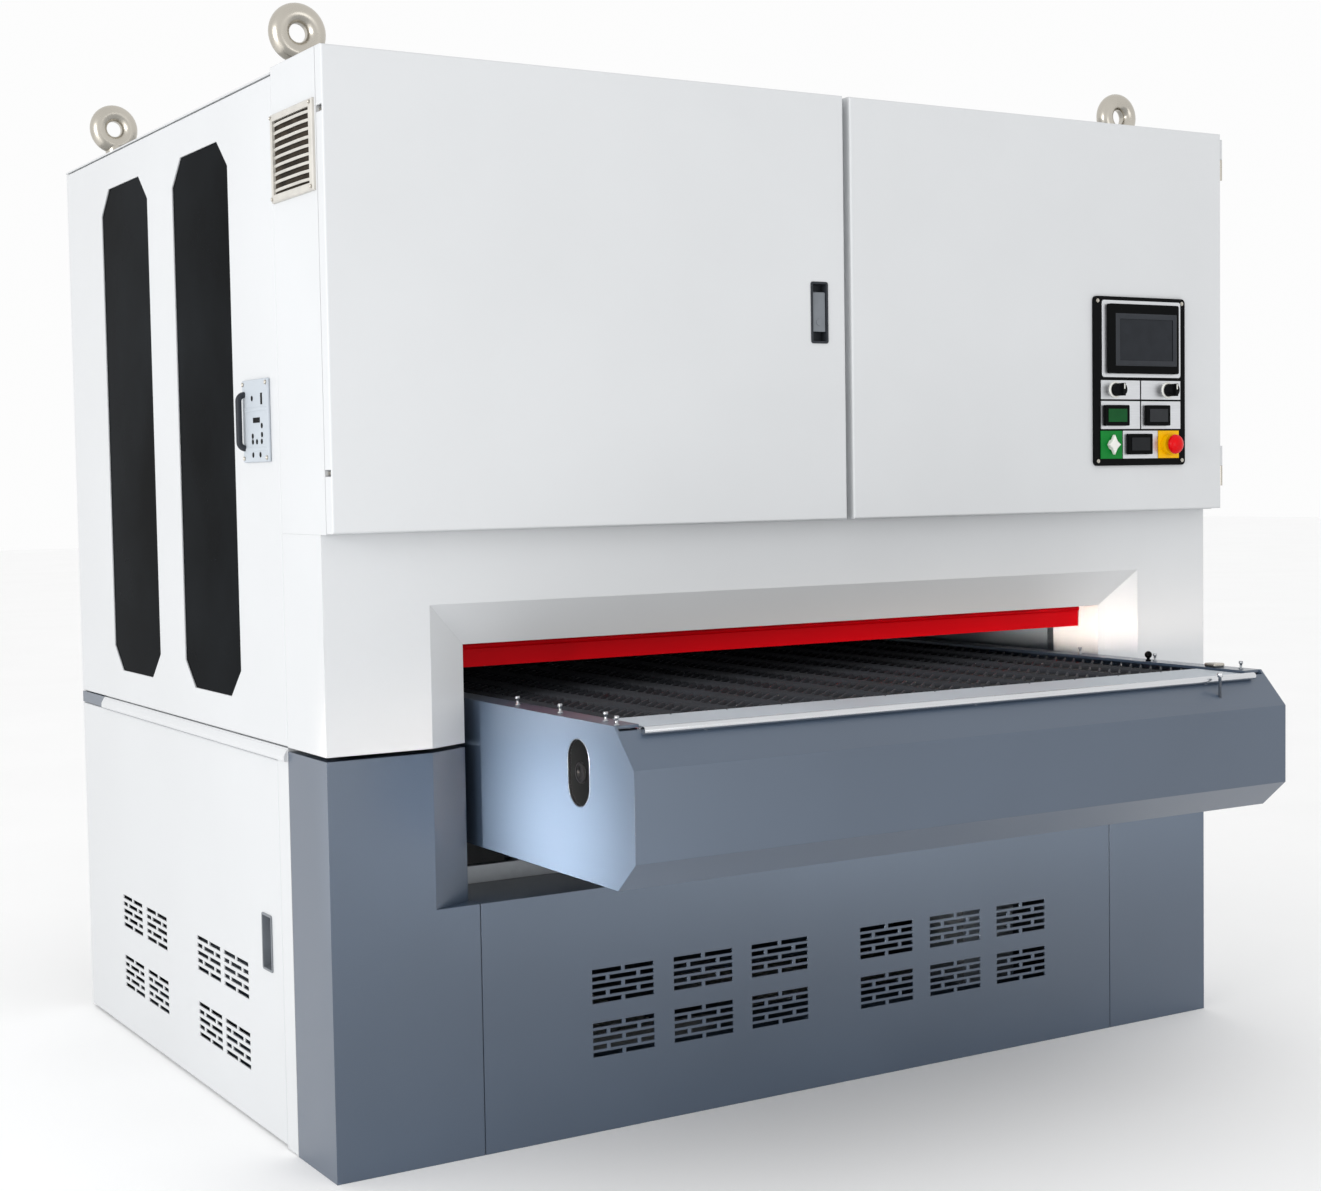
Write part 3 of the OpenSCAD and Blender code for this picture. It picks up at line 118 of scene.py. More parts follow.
def finish(name, code, tone=(0.96, 1.03), tone_mm=380, rough=(0.34, 0.44), grain_mm=6.0, depth_mm=0.04,
           stretch=(1, 1, 1), speckled=False, constants=None, edge_mm=0.6):
    """A material whose colour, gloss and relief follow noise of real sizes, with edges that look rounded."""
    made = bpy.data.materials.new(name)
    made.use_nodes = True
    tree = made.node_tree
    shader = tree.nodes["Principled BSDF"]
    for socket, value in (constants or {}).items():
        shader.inputs[socket].default_value = value
    coords = add_node(tree, "ShaderNodeTexCoord").outputs["Object"]
    run = add_node(tree, "ShaderNodeMapping", {"Vector": coords, "Scale": stretch}).outputs["Vector"]
    slow, fine = 1 / (tone_mm * MM), 1 / (grain_mm * MM)
    drift = add_node(tree, "ShaderNodeTexNoise", {"Vector": coords, "Scale": slow, "Detail": 4.0})
    grain = add_node(tree, "ShaderNodeTexNoise", {"Vector": run, "Scale": fine, "Detail": 3.0})
    pattern = (grain if speckled else drift).outputs["Fac"]
    spread = {"Value": pattern, "From Min": NOISE_LOW, "From Max": NOISE_HIGH}
    wide = add_node(tree, "ShaderNodeMapRange", spread).outputs["Result"]
    dark, light = [[min(c * k, 1.0) for c in linear(code)[:3]] + [1.0] for k in tone]
    colour = add_node(tree, "ShaderNodeMix", {MIX_FACTOR: wide, MIX_A: dark, MIX_B: light}, data_type="RGBA")
    gloss = add_node(tree, "ShaderNodeMapRange", {"Value": wide, "To Min": rough[0], "To Max": rough[1]})
    edges = add_node(tree, "ShaderNodeBevel", {"Radius": edge_mm * MM}, samples=4)
    relief = add_node(tree, "ShaderNodeBump", {
        "Height": grain.outputs["Fac"],
        "Distance": depth_mm * MM,
        "Strength": 0.5,
        "Normal": edges.outputs["Normal"],
    })
    tree.links.new(colour.outputs[MIX_RESULT], shader.inputs["Base Color"])
    tree.links.new(gloss.outputs["Result"], shader.inputs["Roughness"])
    tree.links.new(relief.outputs["Normal"], shader.inputs["Normal"])
    return made


MATS = {}
print("noise range:", NOISE_LOW, "to", NOISE_HIGH)

# %% [markdown]
# ## Painted sheet
# The casing is folded sheet with a baked powder coat. Powder melts into a skin with a soft sheen and a
# faint orange peel of about 2 mm, drawn here at 6 mm so that it shows. A plain colour would look like
# plastic, so the tone also drifts a little over each panel. The base is the same coat in blue grey, a
# little glossier, which is why its sides pick up the light at a low angle.

# %% Paints
GLOSSY = {"Coat Weight": 0.6, "Coat Roughness": 0.25}
SATIN = {"Coat Weight": 0.08, "Coat Roughness": 0.3}
NEARLY_MATT = {"Specular IOR Level": 0.06}
paints = {
    # Baked white powder: an even, bright skin with a weak sheen and soft folded edges.
    "white_paint": finish("powder_coat_white", "#CDCFD1", tone=(0.975, 1.015), constants=SATIN, edge_mm=2.0),
    # Baked blue-grey powder: the clear top of the coat mirrors the floor and the lamps softly.
    "base_paint": finish("powder_coat_blue_grey", "#414F61", tone=(0.95, 1.04), rough=(0.3, 0.4),
                         constants=GLOSSY, edge_mm=2.0),
    # Brushed-on enamel inside the casing: uneven tone, since nobody polishes it.
    "frame_paint": finish("machine_enamel_grey", "#7B838E", rough=(0.4, 0.52)),
    # Sprayed enamel on cast motors: a little blotchy over the rough casting.
    "motor_paint": finish("machine_enamel_blue", "#3F586B", rough=(0.38, 0.5)),
    # Red powder on the guard: strong colour with hardly a highlight.
    "guard_paint": finish("powder_coat_red", "#C8000E", tone=(0.9, 1.05), rough=(0.4, 0.5),
                          constants=NEARLY_MATT),
}
MATS |= paints
print("paints:", len(paints))

# %% [markdown]
# ## Bare metal
# Ground shafts carry fine turned rings, zinc plate is bright with a soft haze, the trip bar is brushed
# stainless, and the ducts are galvanised sheet with large crystals. A metal is all reflection, so its
# grain is in the gloss, and a noise that is squeezed along one axis draws the lines that a tool has
# left.

# %% Metals
METAL = {"Metallic": 1.0}
TURNED = {"stretch": (20, 1, 1), "speckled": True, "constants": METAL}
metals = {
    # Ground on a lathe: fine rings round the shaft that break the highlight into bands.
    "steel": finish("ground_steel", "#A9ACB0", tone=(0.85, 1.05), tone_mm=60, rough=(0.22, 0.4), grain_mm=3.0,
                    depth_mm=0.02, **TURNED),
    # Plated in a bath: bright and slightly warm, with a soft haze.
    "zinc": finish("zinc_plate", "#C0BBB1", tone=(0.93, 1.04), tone_mm=90, rough=(0.22, 0.32), grain_mm=2.0,
                   depth_mm=0.004, constants=METAL),
    # Brushed along its length: highlights are drawn out across the lines.
    "stainless": finish("brushed_stainless", "#D3D5D8", tone=(0.94, 1.03), tone_mm=120, rough=(0.12, 0.22),
                        grain_mm=1.2, depth_mm=0.004, stretch=(0.02, 1, 1), speckled=True, constants=METAL),
    # Dipped in zinc: crystals of about 45 mm, each with its own shine.
    "duct": finish("galvanised_sheet", "#A3A8AD", tone=(0.82, 1.08), tone_mm=45, rough=(0.32, 0.5),
                   grain_mm=45.0, depth_mm=0.01, speckled=True, constants=METAL),
    # Cast and turned: dark, with coarse rings.
    "pulley_iron": finish("turned_iron", "#54575B", tone=(0.85, 1.1), tone_mm=50, rough=(0.35, 0.55),
                          grain_mm=2.0, depth_mm=0.05, **TURNED),
    # Brushed aluminium on the panel: a pale silk with hair lines.
    "legend_silver": finish("brushed_aluminium", "#D6D8DB", tone=(0.92, 1.05), tone_mm=60, rough=(0.28, 0.42),
                            grain_mm=0.8, depth_mm=0.006, stretch=(0.03, 1, 1), speckled=True,
                            constants=METAL),
}
MATS |= metals
print("metals:", len(metals))

# %% [markdown]
# ## Rubber, cloth and plastic
# Belt rubber is matt with chalky wear, the sanding cloth is sharp grit in a brown bond, and the
# controls are moulded plastic with a fine spark-eroded grain. The windows are smoked acrylic sheet with
# an anti-glare film: nearly black, with next to no real reflection even at a low angle, and with painted
# reflections in patches of lighter tone. These finishes differ in a few numbers only, so each family is
# one set of values and a table gives the colours.

# %% Families of finish
DULL = {"Specular IOR Level": 0.14}
MATT = {"Specular IOR Level": 0.04}
ANTI_GLARE = {"Specular IOR Level": 0.004}
# Vulcanised rubber: soft patches of pale wear, and no mirror at all.
RUBBER = {"tone": (0.75, 1.45), "tone_mm": 110, "rough": (0.5, 0.72), "grain_mm": 1.6, "depth_mm": 0.12}
GRIPPY = RUBBER | {"constants": {"Specular IOR Level": 0.25}}
# Injection-moulded plastic: even colour, and a grain that spreads the highlight.
MOULDED = {"tone": (0.9, 1.07), "tone_mm": 35, "rough": (0.3, 0.42), "grain_mm": 1.1, "depth_mm": 0.02}
SATIN_MOULDED = MOULDED | {"constants": DULL}
MATT_BLACK = MOULDED | {"constants": MATT}
# Polished plastic of lamps and lenses under a film: smooth, with a small tight highlight.
LENS = {"tone": (0.9, 1.1), "tone_mm": 30, "rough": (0.1, 0.18), "grain_mm": 2.0, "depth_mm": 0.004}
FILMED_LENS = LENS | {"constants": DULL}
# Smoked acrylic: near black, with lighter patches as wide as a hand that are painted reflections.
SMOKED_PAINTED_REFLECTION = {"tone": (0.6, 2.6), "tone_mm": 420, "rough": (0.05, 0.12), "grain_mm": 30.0, "depth_mm": 0.01}
print("rubber grain:", RUBBER["grain_mm"], "mm, moulded grain:", MOULDED["grain_mm"], "mm")

# %% Soft and moulded finishes
for slot, name, code, family in (
    ("drum_rubber", "drum_rubber", "#2A2B2D", RUBBER),
    ("roller_rubber", "roller_rubber", "#232426", RUBBER),
    ("belt_rubber", "belt_rubber_worn", "#2A2C31", GRIPPY),
    # The carcass is the belt rubber painted far darker than the bars: painted shade in the valleys between
    # them.
    ("belt_valley", "belt_rubber_fresh", "#0E0E0F", RUBBER),
    ("drive_rubber", "v_belt_rubber", "#17181A", RUBBER),
    ("switchgear", "moulded_polyamide_cream", "#C9C4B6", MOULDED),
    ("grille", "pressed_sheet_cream", "#BEBBB4", MOULDED),
    ("panel_black", "panel_black", "#0C0D0E", MATT_BLACK),
    ("bezel_black", "bezel_black", "#08090A", MATT_BLACK),
    ("tile_green", "moulded_green", "#0A7A2E", SATIN_MOULDED),
    ("tile_yellow", "moulded_yellow", "#EDB600", SATIN_MOULDED),
    ("knob_black", "moulded_black", "#101113", MATT_BLACK),
    ("lens_green", "lens_green", "#084A20", FILMED_LENS),
    ("lens_grey", "lens_grey", "#2B2D30", FILMED_LENS),
    ("lens_dark", "lens_dark", "#1A1C1F", FILMED_LENS),
    ("knob_white", "moulded_white", "#E4E4DE", MOULDED),
    ("stop_red", "moulded_red", "#D40810", FILMED_LENS),
    ("handle_grey", "die_cast_grey", "#303338", SATIN_MOULDED),
    ("paddle_grey", "die_cast_pale_grey", "#6F747A", MOULDED),
    ("screen", "screen_glass", "#23262B", FILMED_LENS),
    # Window: the patches of lighter tone are painted reflections.
    ("window", "smoked_acrylic", "#0C0E10", SMOKED_PAINTED_REFLECTION | {"constants": ANTI_GLARE}),
):
    MATS[slot] = finish(name, code, **family)
# Grit in a resin bond: a rough, speckled brown that never shines.
MATS["abrasive"] = finish("sanding_cloth", "#7A4A34", tone=(0.5, 1.3), tone_mm=60, rough=(0.7, 0.95),
                          grain_mm=1.5, depth_mm=0.3, speckled=True)
# Anodised sheet: a grey oxide skin that mirrors far less than the bare metal.
MATS["anodised"] = finish("anodised_sheet", "#B4BBC2", tone=(0.95, 1.04), tone_mm=200, rough=(0.35, 0.5),
                          grain_mm=3.0, depth_mm=0.01, constants=DULL)
# Open foam with dust in it: deep pores and no gloss. Its dark brown is painted shade behind the fan's slats.
MATS["filter_dark"] = finish("filter_foam_painted_shade", "#332D26", tone=(0.5, 1.6), tone_mm=30, rough=(0.8, 0.95),
                             grain_mm=5.0, depth_mm=1.5, constants=DULL)
print("finishes:", len(MATS))

# %% [markdown]
# ## Dressing the solids
# The record names a material slot for each node, so one loop gives every solid its finish. Their meshes
# stay as they are.

# %% Solids
for entry in frame["record"]["subparts"]:
    mesh = NODES[entry["node"]].data
    mesh.materials.clear()
    mesh.materials.append(MATS[entry["material_slot"]])

# %% [markdown]
# ## Tools for small pieces
# A small piece could be a unit shape that its object scales and moves. Here the mesh itself is made in
# its real place, so every object stays at the origin and the finishes keep their true sizes. A turned
# profile gives studs, knobs and screws, a skin through rings gives folds and trim, and a block with
# rounded edges gives cast plates.

# %% Mesh to piece
MERGE = 1e-6


def settle(name, made, material, smooth=False):
    """Turns a bmesh into an object at the origin with one finish."""
    mesh = bpy.data.meshes.new(name)
    made.to_mesh(mesh)
    made.free()
    mesh.materials.append(material)
    for polygon in mesh.polygons:
        polygon.use_smooth = smooth
    obj = bpy.data.objects.new(name, mesh)
    bpy.context.scene.collection.objects.link(obj)
    return obj


def add_mesh(name, verts, faces, material, smooth=False):
    """A mesh object from points in metres, with its faces pointing out."""
    made = bmesh.new()
    points = [made.verts.new(v) for v in verts]
    for face in faces:
        made.faces.new([points[i] for i in face])
    bmesh.ops.remove_doubles(made, verts=made.verts, dist=MERGE)
    bmesh.ops.recalc_face_normals(made, faces=made.faces)
    return settle(name, made, material, smooth)


def keep(obj, body, slot, *replaced):
    """Hangs a piece on its body and hides the solids it stands for. The slot is not used."""
    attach(obj, body)
    if replaced:
        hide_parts(*replaced)
    return obj


print("points closer than", MERGE / MM, "mm are merged")


# %% Turned shapes
def facing(normal):
    """A turn that takes Z to the given direction."""
    return Vector((0, 0, 1)).rotation_difference(Vector(normal)).to_matrix()


def turned(profile_mm, count=28):
    """Points and faces of a profile of (radius, height) turned about Z."""
    verts, faces = [], []
    n = len(profile_mm)
    for i in range(count):
        a = 2 * math.pi * i / count
        verts += [Vector((r * math.cos(a), r * math.sin(a), h)) * MM for r, h in profile_mm]
        j = (i + 1) % count
        faces += [(i * n + k, j * n + k, j * n + k + 1, i * n + k + 1) for k in range(n - 1)]
    return verts, faces


def turned_piece(name, profile_mm, place, normal, material):
    """A turned piece that stands on a point, along a direction."""
    verts, faces = turned(profile_mm)
    turn = facing(normal)
    return add_mesh(name, [turn @ v + place for v in verts], faces, material, True)


print("faces of a plain disc:", len(turned([(0, 0), (1, 0)])[1]))


# %% Skins and blocks
def bands(rings, closed):
    """Faces between rings of equal point counts. A closed row joins its last ring to the first."""
    n, faces = len(rings[0]), []
    for i in range(len(rings) if closed else len(rings) - 1):
        j = (i + 1) % len(rings)
        faces += [(i * n + k, i * n + (k + 1) % n, j * n + (k + 1) % n, j * n + k) for k in range(n)]
    return faces


def lofted(name, rings, material, smooth=False):
    """A skin through rings, capped at both ends."""
    n, last = len(rings[0]), (len(rings) - 1) * len(rings[0])
    caps = [tuple(range(n)), tuple(range(last, last + n))]
    return add_mesh(name, [p for ring in rings for p in ring], caps + bands(rings, False), material, smooth)


def looped(name, rings, material):
    """A skin through rings that comes back to the first one, such as a frame or a belt."""
    return add_mesh(name, [p for ring in rings for p in ring], bands(rings, True), material)


def soft_block(name, low, high, edge_mm, material):
    """A block with rounded edges between two corners."""
    made = bmesh.new()
    bmesh.ops.create_cube(made, size=1.0)
    bmesh.ops.scale(made, vec=high - low, verts=made.verts)
    bmesh.ops.translate(made, vec=(low + high) / 2, verts=made.verts)
    bmesh.ops.bevel(made, geom=made.edges[:], offset=edge_mm * MM, segments=3, profile=0.5, affect="EDGES")
    return settle(name, made, material)


print("faces of a four-sided frame of three rings:", len(bands([range(4)] * 3, True)))

# %% [markdown]
# ## Repeats
# Screws, cleats and slats repeat. Copies could be made one by one in Python, but Geometry Nodes set a
# copy of one piece on every face of a small seed mesh in one step, with the piece's Z along the face's
# normal. The copies are made real and then kept as one plain mesh.


# %% Repeat tree
def repeat_group():
    """The node group, and the identifiers of its two inputs: the piece and its finish."""
    group = bpy.data.node_groups.new("place_on_faces", "GeometryNodeTree")
    sockets = group.interface
    sockets.new_socket("Geometry", in_out="INPUT", socket_type="NodeSocketGeometry")
    piece = sockets.new_socket("Piece", in_out="INPUT", socket_type="NodeSocketObject")
    coat = sockets.new_socket("Finish", in_out="INPUT", socket_type="NodeSocketMaterial")
    sockets.new_socket("Geometry", in_out="OUTPUT", socket_type="NodeSocketGeometry")
    source = add_node(group, "NodeGroupInput").outputs
    normal = add_node(group, "GeometryNodeInputNormal").outputs["Normal"]
    capture = add_node(group, "GeometryNodeCaptureAttribute", {"Geometry": source["Geometry"]}, domain="FACE")
    capture.capture_items.new("VECTOR", "normal")
    group.links.new(normal, capture.inputs[1])
    points = add_node(group, "GeometryNodeMeshToPoints", {"Mesh": capture.outputs["Geometry"]}, mode="FACES")
    align = add_node(group, "FunctionNodeAlignRotationToVector", {"Vector": capture.outputs[1]}, axis="Z")
    info = add_node(group, "GeometryNodeObjectInfo", {"Object": source["Piece"]})
    copies = add_node(group, "GeometryNodeInstanceOnPoints", {
        "Points": points.outputs["Points"],
        "Instance": info.outputs["Geometry"],
        "Rotation": align.outputs["Rotation"],
    })
    real = add_node(group, "GeometryNodeRealizeInstances", {"Geometry": copies.outputs["Instances"]})
    dress = add_node(group, "GeometryNodeSetMaterial", {
        "Geometry": real.outputs["Geometry"],
        "Material": source["Finish"],
    })
    add_node(group, "NodeGroupOutput", {"Geometry": dress.outputs["Geometry"]})
    return group, piece.identifier, coat.identifier


REPEAT, PIECE_ID, FINISH_ID = repeat_group()
print("repeat tree nodes:", len(REPEAT.nodes))

# %% Repeat tool
CORNERS = ((-1, -1), (1, -1), (1, 1), (-1, 1))


def repeated(name, places, piece, material):
    """A plain mesh of the piece at each (point, normal). The piece itself is removed."""
    verts, faces = [], []
    for place, normal in places:
        turn = facing(normal)
        base = len(verts)
        verts += [place + turn @ Vector((x, y, 0)) * MM for x, y in CORNERS]
        faces.append((base, base + 1, base + 2, base + 3))
    mesh = bpy.data.meshes.new(name + "_seed")
    mesh.from_pydata(verts, [], faces)
    seed = bpy.data.objects.new(name + "_seed", mesh)
    bpy.context.scene.collection.objects.link(seed)
    step = seed.modifiers.new("repeat", "NODES")
    step.node_group = REPEAT
    step[PIECE_ID] = piece
    step[FINISH_ID] = material
    bpy.context.view_layer.update()
    graph = bpy.context.evaluated_depsgraph_get()
    plain = bpy.data.meshes.new_from_object(seed.evaluated_get(graph), depsgraph=graph)
    plain.name = name
    seed.modifiers.remove(step)
    bpy.data.objects.remove(seed)
    bpy.data.objects.remove(piece)
    obj = bpy.data.objects.new(name, plain)
    bpy.context.scene.collection.objects.link(obj)
    print(name, "copies:", len(places), "faces:", len(plain.polygons))
    return obj


def cap_screw(radius, height):
    """A cap screw with a round socket, which stands on the origin."""
    r, h = radius, height
    head = [(0, 0), (r, 0), (r, 0.85 * h), (0.88 * r, h)]
    socket = [(0.55 * r, h), (0.55 * r, 0.4 * h), (0, 0.4 * h)]
    return add_mesh("screw_piece", *turned(head + socket, 16), MATS["zinc"], True)


print("seed face:", 2 * CORNERS[2][0], "mm wide")

# %% [markdown]
# ## Conveyor belt
# Boards ride on a rubber belt with a herringbone of slanted bars, which grip them and shed dust. A
# texture would lie flat, so the bars are real: columns that lean left and right by turns, on a plain
# loop round the two rollers. The loop and the bars stand for the plain solid of the belt.

# %% Belt loop
IDLER, DRIVE, ROLLER_Z = -350.0, 1722.0, 768.6
BELT_IN, BELT_BASE, BELT_HALF = 75.4, 79.2, 718.0
STRAIGHT, BEND = DRIVE - IDLER, math.pi * BELT_BASE
LOOP = 2 * (STRAIGHT + BEND)
LOOP_STEPS = 240


def belt_point(s, radius):
    """A point and the outward normal in the belt's plane, at distance s along the loop."""
    s %= LOOP
    if s < STRAIGHT:
        return (IDLER + s, ROLLER_Z + radius), (0, 1)
    if s < STRAIGHT + BEND:
        a = math.pi / 2 - (s - STRAIGHT) / BELT_BASE
        return (DRIVE + radius * math.cos(a), ROLLER_Z + radius * math.sin(a)), (math.cos(a), math.sin(a))
    if s < 2 * STRAIGHT + BEND:
        return (DRIVE - (s - STRAIGHT - BEND), ROLLER_Z - radius), (0, -1)
    a = -math.pi / 2 - (s - 2 * STRAIGHT - BEND) / BELT_BASE
    return (IDLER + radius * math.cos(a), ROLLER_Z + radius * math.sin(a)), (math.cos(a), math.sin(a))


section = ((-BELT_HALF, BELT_IN), (BELT_HALF, BELT_IN), (BELT_HALF, BELT_BASE), (-BELT_HALF, BELT_BASE))
rings = []
for i in range(LOOP_STEPS):
    rings.append([at(x, *belt_point(LOOP * i / LOOP_STEPS, r)[0]) for x, r in section])
# The carcass is painted near black, as the shade in the valleys between the bars.
keep(looped("belt_carcass", rings, MATS["belt_valley"]), "table", "belt_rubber", "conveyor_belt")
print("belt loop:", round(LOOP), "mm")

# %% Belt bars
BAR_LENGTH, BAR_TAPER, BAR_FOOT, BAR_TOP = 74.0, 2.0, 8.0, 3.6
BAR_SINK, BAR_RISE, BAR_LEAN = 2.0, 8.2, math.radians(45)
COLUMNS, ROW_PITCH = 24, 30.0
ROWS = round(LOOP / ROW_PITCH)


def belt_bar(lean):
    """A slanted bar with sloping flanks, its root below the origin."""
    foot = (BAR_LENGTH / 2, BAR_FOOT / 2, -BAR_SINK)
    crest = (BAR_LENGTH / 2 - BAR_TAPER, BAR_TOP / 2, BAR_RISE)
    cos, sin = math.cos(lean), math.sin(lean)
    rings = []
    for half_length, half_width, h in (foot, crest):
        outline = [(sx * half_length, sy * half_width) for sx, sy in CORNERS]
        rings.append([Vector((u * cos - v * sin, u * sin + v * cos, h)) * MM for u, v in outline])
    return lofted("bar_piece", rings, MATS["belt_rubber"])


for side in (0, 1):
    places = []
    for row in range(ROWS):
        (d, z), (ny, nz) = belt_point(LOOP * (row + side / 2) / ROWS, BELT_BASE)
        for column in range(side, COLUMNS, 2):
            places.append((at((column + 0.5) / COLUMNS * 2 * BELT_HALF - BELT_HALF, d, z), (0, ny, nz)))
    bar = belt_bar(BAR_LEAN if side else -BAR_LEAN)
    keep(repeated("belt_cleats_%d" % side, places, bar, MATS["belt_rubber"]), "table", "belt_rubber")

# %% [markdown]
# ## Table fittings
# Small studs and a black ball knob stand on the table's side flanges, and a plated post in front of the
# trip bar. A thin sheet leads the boards over the nose to the belt. Each side plate has an upright slot
# whose bright stainless rim is a painted highlight on its edge, and the block that carries the roller's
# bearing is seen inside it, painted near black with its nut as the shade in the slot. All of them are
# turned or swept outlines, since that is how a workshop makes them.

# %% Studs, knob and post
FLANGE_Z, UP = 862.0, (0, 0, 1)
STUD_SPOTS = ((-750, -75), (-750, -240), (-750, -404), (-765, -468), (750, 40), (750, -196), (750, -443))
stud_shank = [(0, 0), (5, 0), (5, 2), (2.6, 2.4), (2.6, 11)]
stud_head = [(4.2, 11.3), (4.5, 12), (4.5, 15.5), (3.6, 16.5), (0, 16.5)]
stud = add_mesh("stud_piece", *turned(stud_shank + stud_head, 18), MATS["steel"], True)
stud_places = [(at(x, d, FLANGE_Z), UP) for x, d in STUD_SPOTS]
keep(repeated("flange_studs", stud_places, stud, MATS["steel"]), "table", "steel")

BALL_R, BALL_Z, KNOB_AT, POST_AT = 8.0, 14.0, (738, -188, FLANGE_Z), (612, -516, 817)
arc = [math.radians(a) for a in range(-50, 91, 14)]
ball = [(0, 0), (6, 0), (6, 3), (3.5, 4), (3.5, 7)]
ball += [(BALL_R * math.cos(a), BALL_Z + BALL_R * math.sin(a)) for a in arc]
keep(turned_piece("flange_knob", ball, at(*KNOB_AT), UP, MATS["bezel_black"]), "table", "knob_black")
post = [(0, 0), (3.2, 0), (3.2, 42), (5.5, 42.5), (5.5, 49), (4.5, 51), (0, 51)]
keep(turned_piece("nose_post", post, at(*POST_AT), UP, MATS["stainless"]), "table", "zinc")
print("stud height:", stud_head[-1][1], "mm")

# %% Nose sheet
NOSE_HALF = 716.0
NOSE_SECTION = ((-477, 855.2), (-352, 857.2), (-352, 858.4), (-474, 857.0), (-477, 856.4))
CLAMP_LOW, CLAMP_HIGH = (728, -392, FLANGE_Z), (758, -360, FLANGE_Z + 9)
rings = [[at(x, d, z) for d, z in NOSE_SECTION] for x in (-NOSE_HALF, NOSE_HALF)]
keep(lofted("nose_sheet", rings, MATS["anodised"]), "table", "zinc")
keep(soft_block("nose_clamp", at(*CLAMP_LOW), at(*CLAMP_HIGH), 3.5, MATS["zinc"]), "table", "zinc")
print("nose sheet depth:", NOSE_SECTION[1][0] - NOSE_SECTION[0][0], "mm")

# %% Adjusting slots
SLOT_D, SLOT_R, SLOT_STRAIGHT, SLOT_POINTS = -350.0, 38.0, 21.0, 48
SIDE_PLATE_X, BLOCK_GAP, BLOCK_IN = 775.0, 0.6, (6.9, 5.3)
RIM_STEPS = ((1.4, 0), (1.0, 0.7), (-0.4, 0.7), (-0.4, -5.5), (0, -5.5), (0, 0))
NUT_PROFILE = [(0, 0), (19, 0), (19, 2), (15, 3.2), (9, 3.2), (9, 1.6), (0, 1.6)]


def slot_ring(x, r):
    """Points round the slot's outline, moved out or in to the given end radius."""
    ring = []
    for i in range(SLOT_POINTS):
        a = 2 * math.pi * (i + 0.5) / SLOT_POINTS
        lift = SLOT_STRAIGHT if math.sin(a) > 0 else -SLOT_STRAIGHT
        ring.append(at(x, SLOT_D + r * math.cos(a), ROLLER_Z + lift + r * math.sin(a)))
    return ring


for side, sign in (("left", -1), ("right", 1)):
    rings = [slot_ring(sign * (SIDE_PLATE_X + out), SLOT_R + grow) for grow, out in RIM_STEPS]
    # A bright stainless rim round each slot: a painted highlight on the slot's edge.
    keep(looped("slot_rim_" + side, rings, MATS["stainless"]), "table", "zinc")
    # The bearing block and its nut are near black: painted shade inside the slot.
    rings = [slot_ring(sign * (SIDE_PLATE_X - deep), SLOT_R - BLOCK_GAP) for deep in BLOCK_IN]
    keep(lofted("slot_block_" + side, rings, MATS["bezel_black"]), "table", "bezel_black")
    seat = at(sign * (SIDE_PLATE_X - BLOCK_IN[1]), SLOT_D, ROLLER_Z)
    nut = turned_piece("slot_nut_" + side, NUT_PROFILE, seat, (sign, 0, 0), MATS["knob_black"])
    keep(nut, "table", "knob_black")
print("slot height:", 2 * (SLOT_R + SLOT_STRAIGHT), "mm")

# %% [markdown]
# ## Plate behind the throat
# Below the table a strip of galvanised plate closes the back of the throat's floor. It is folded over
# at the top and stays under the table's lowest place. One section drawn from side to side gives the
# fold in a single piece.

# %% Throat plate
THROAT_HALF, THROAT_FLOOR, TABLE_LOWEST = 803.0, 482.0, 522.0
PLATE_FOOT, PLATE_TOP = THROAT_FLOOR + 0.3, TABLE_LOWEST - 3.0
PLATE_SECTION = (
    (186, PLATE_FOOT), (186, PLATE_TOP - 2), (187.5, PLATE_TOP), (200, PLATE_TOP), (200, PLATE_TOP - 2),
    (188.5, PLATE_TOP - 2), (188, PLATE_TOP - 3), (188, PLATE_FOOT),
)
rings = [[at(x, d, z) for d, z in PLATE_SECTION] for x in (-THROAT_HALF, THROAT_HALF)]
keep(lofted("throat_plate", rings, MATS["duct"]), "casing", "duct")
print("plate height:", PLATE_TOP - THROAT_FLOOR, "mm")

# %% [markdown]
# ## Rail between the side doors
# A white folded rail runs between the upper and lower side doors. Its upper face leans out and catches
# the light, and its front drops into shade. A swept outline makes it, on both sides of the casing.

# %% Folded rail
CASING_X, RAIL_FROM, RAIL_TO = 1100.0, 193.0, 1386.0
RAIL_SECTION = ((-2.5, 781.5), (1.5, 779), (7.0, 769.5), (8.0, 766.5), (8.0, 758.5), (6.5, 757), (-2.5, 757))
for side, sign in (("left", -1), ("right", 1)):
    rings = [[at(sign * (CASING_X + out), d, z) for out, z in RAIL_SECTION] for d in (RAIL_FROM, RAIL_TO)]
    keep(lofted("door_rail_" + side, rings, MATS["white_paint"]), "casing", "white_paint")
print("rail length:", RAIL_TO - RAIL_FROM, "mm")

# %% [markdown]
# ## Fan outlet
# The cabinet's fan blows through a pressed frame with nine thin slats that bow outwards. Filter foam
# shows between them, painted dark as the shade behind the slats. The slats repeat, so one bowed strip is
# made and Geometry Nodes set it nine times.

# %% Fan frame and foam
FAN_D, FAN_Z, FAN_RIM = (-20.0, 185.0), (1796.0, 1958.0), 14.0
FOAM_GAP, FOAM_OUT = 0.2, (1.4, 0.2)
FAN_SCREW_OUT, FAN_SCREW_D, FAN_SCREW_Z = 7, (-13, 178), (1803, 1951)
FRAME_STEPS = ((0, 0), (4, 0.5), (6, 2.5), (7.5, FAN_RIM - 3), (6.5, FAN_RIM), (0, FAN_RIM))
OUT_LEFT = (-1, 0, 0)


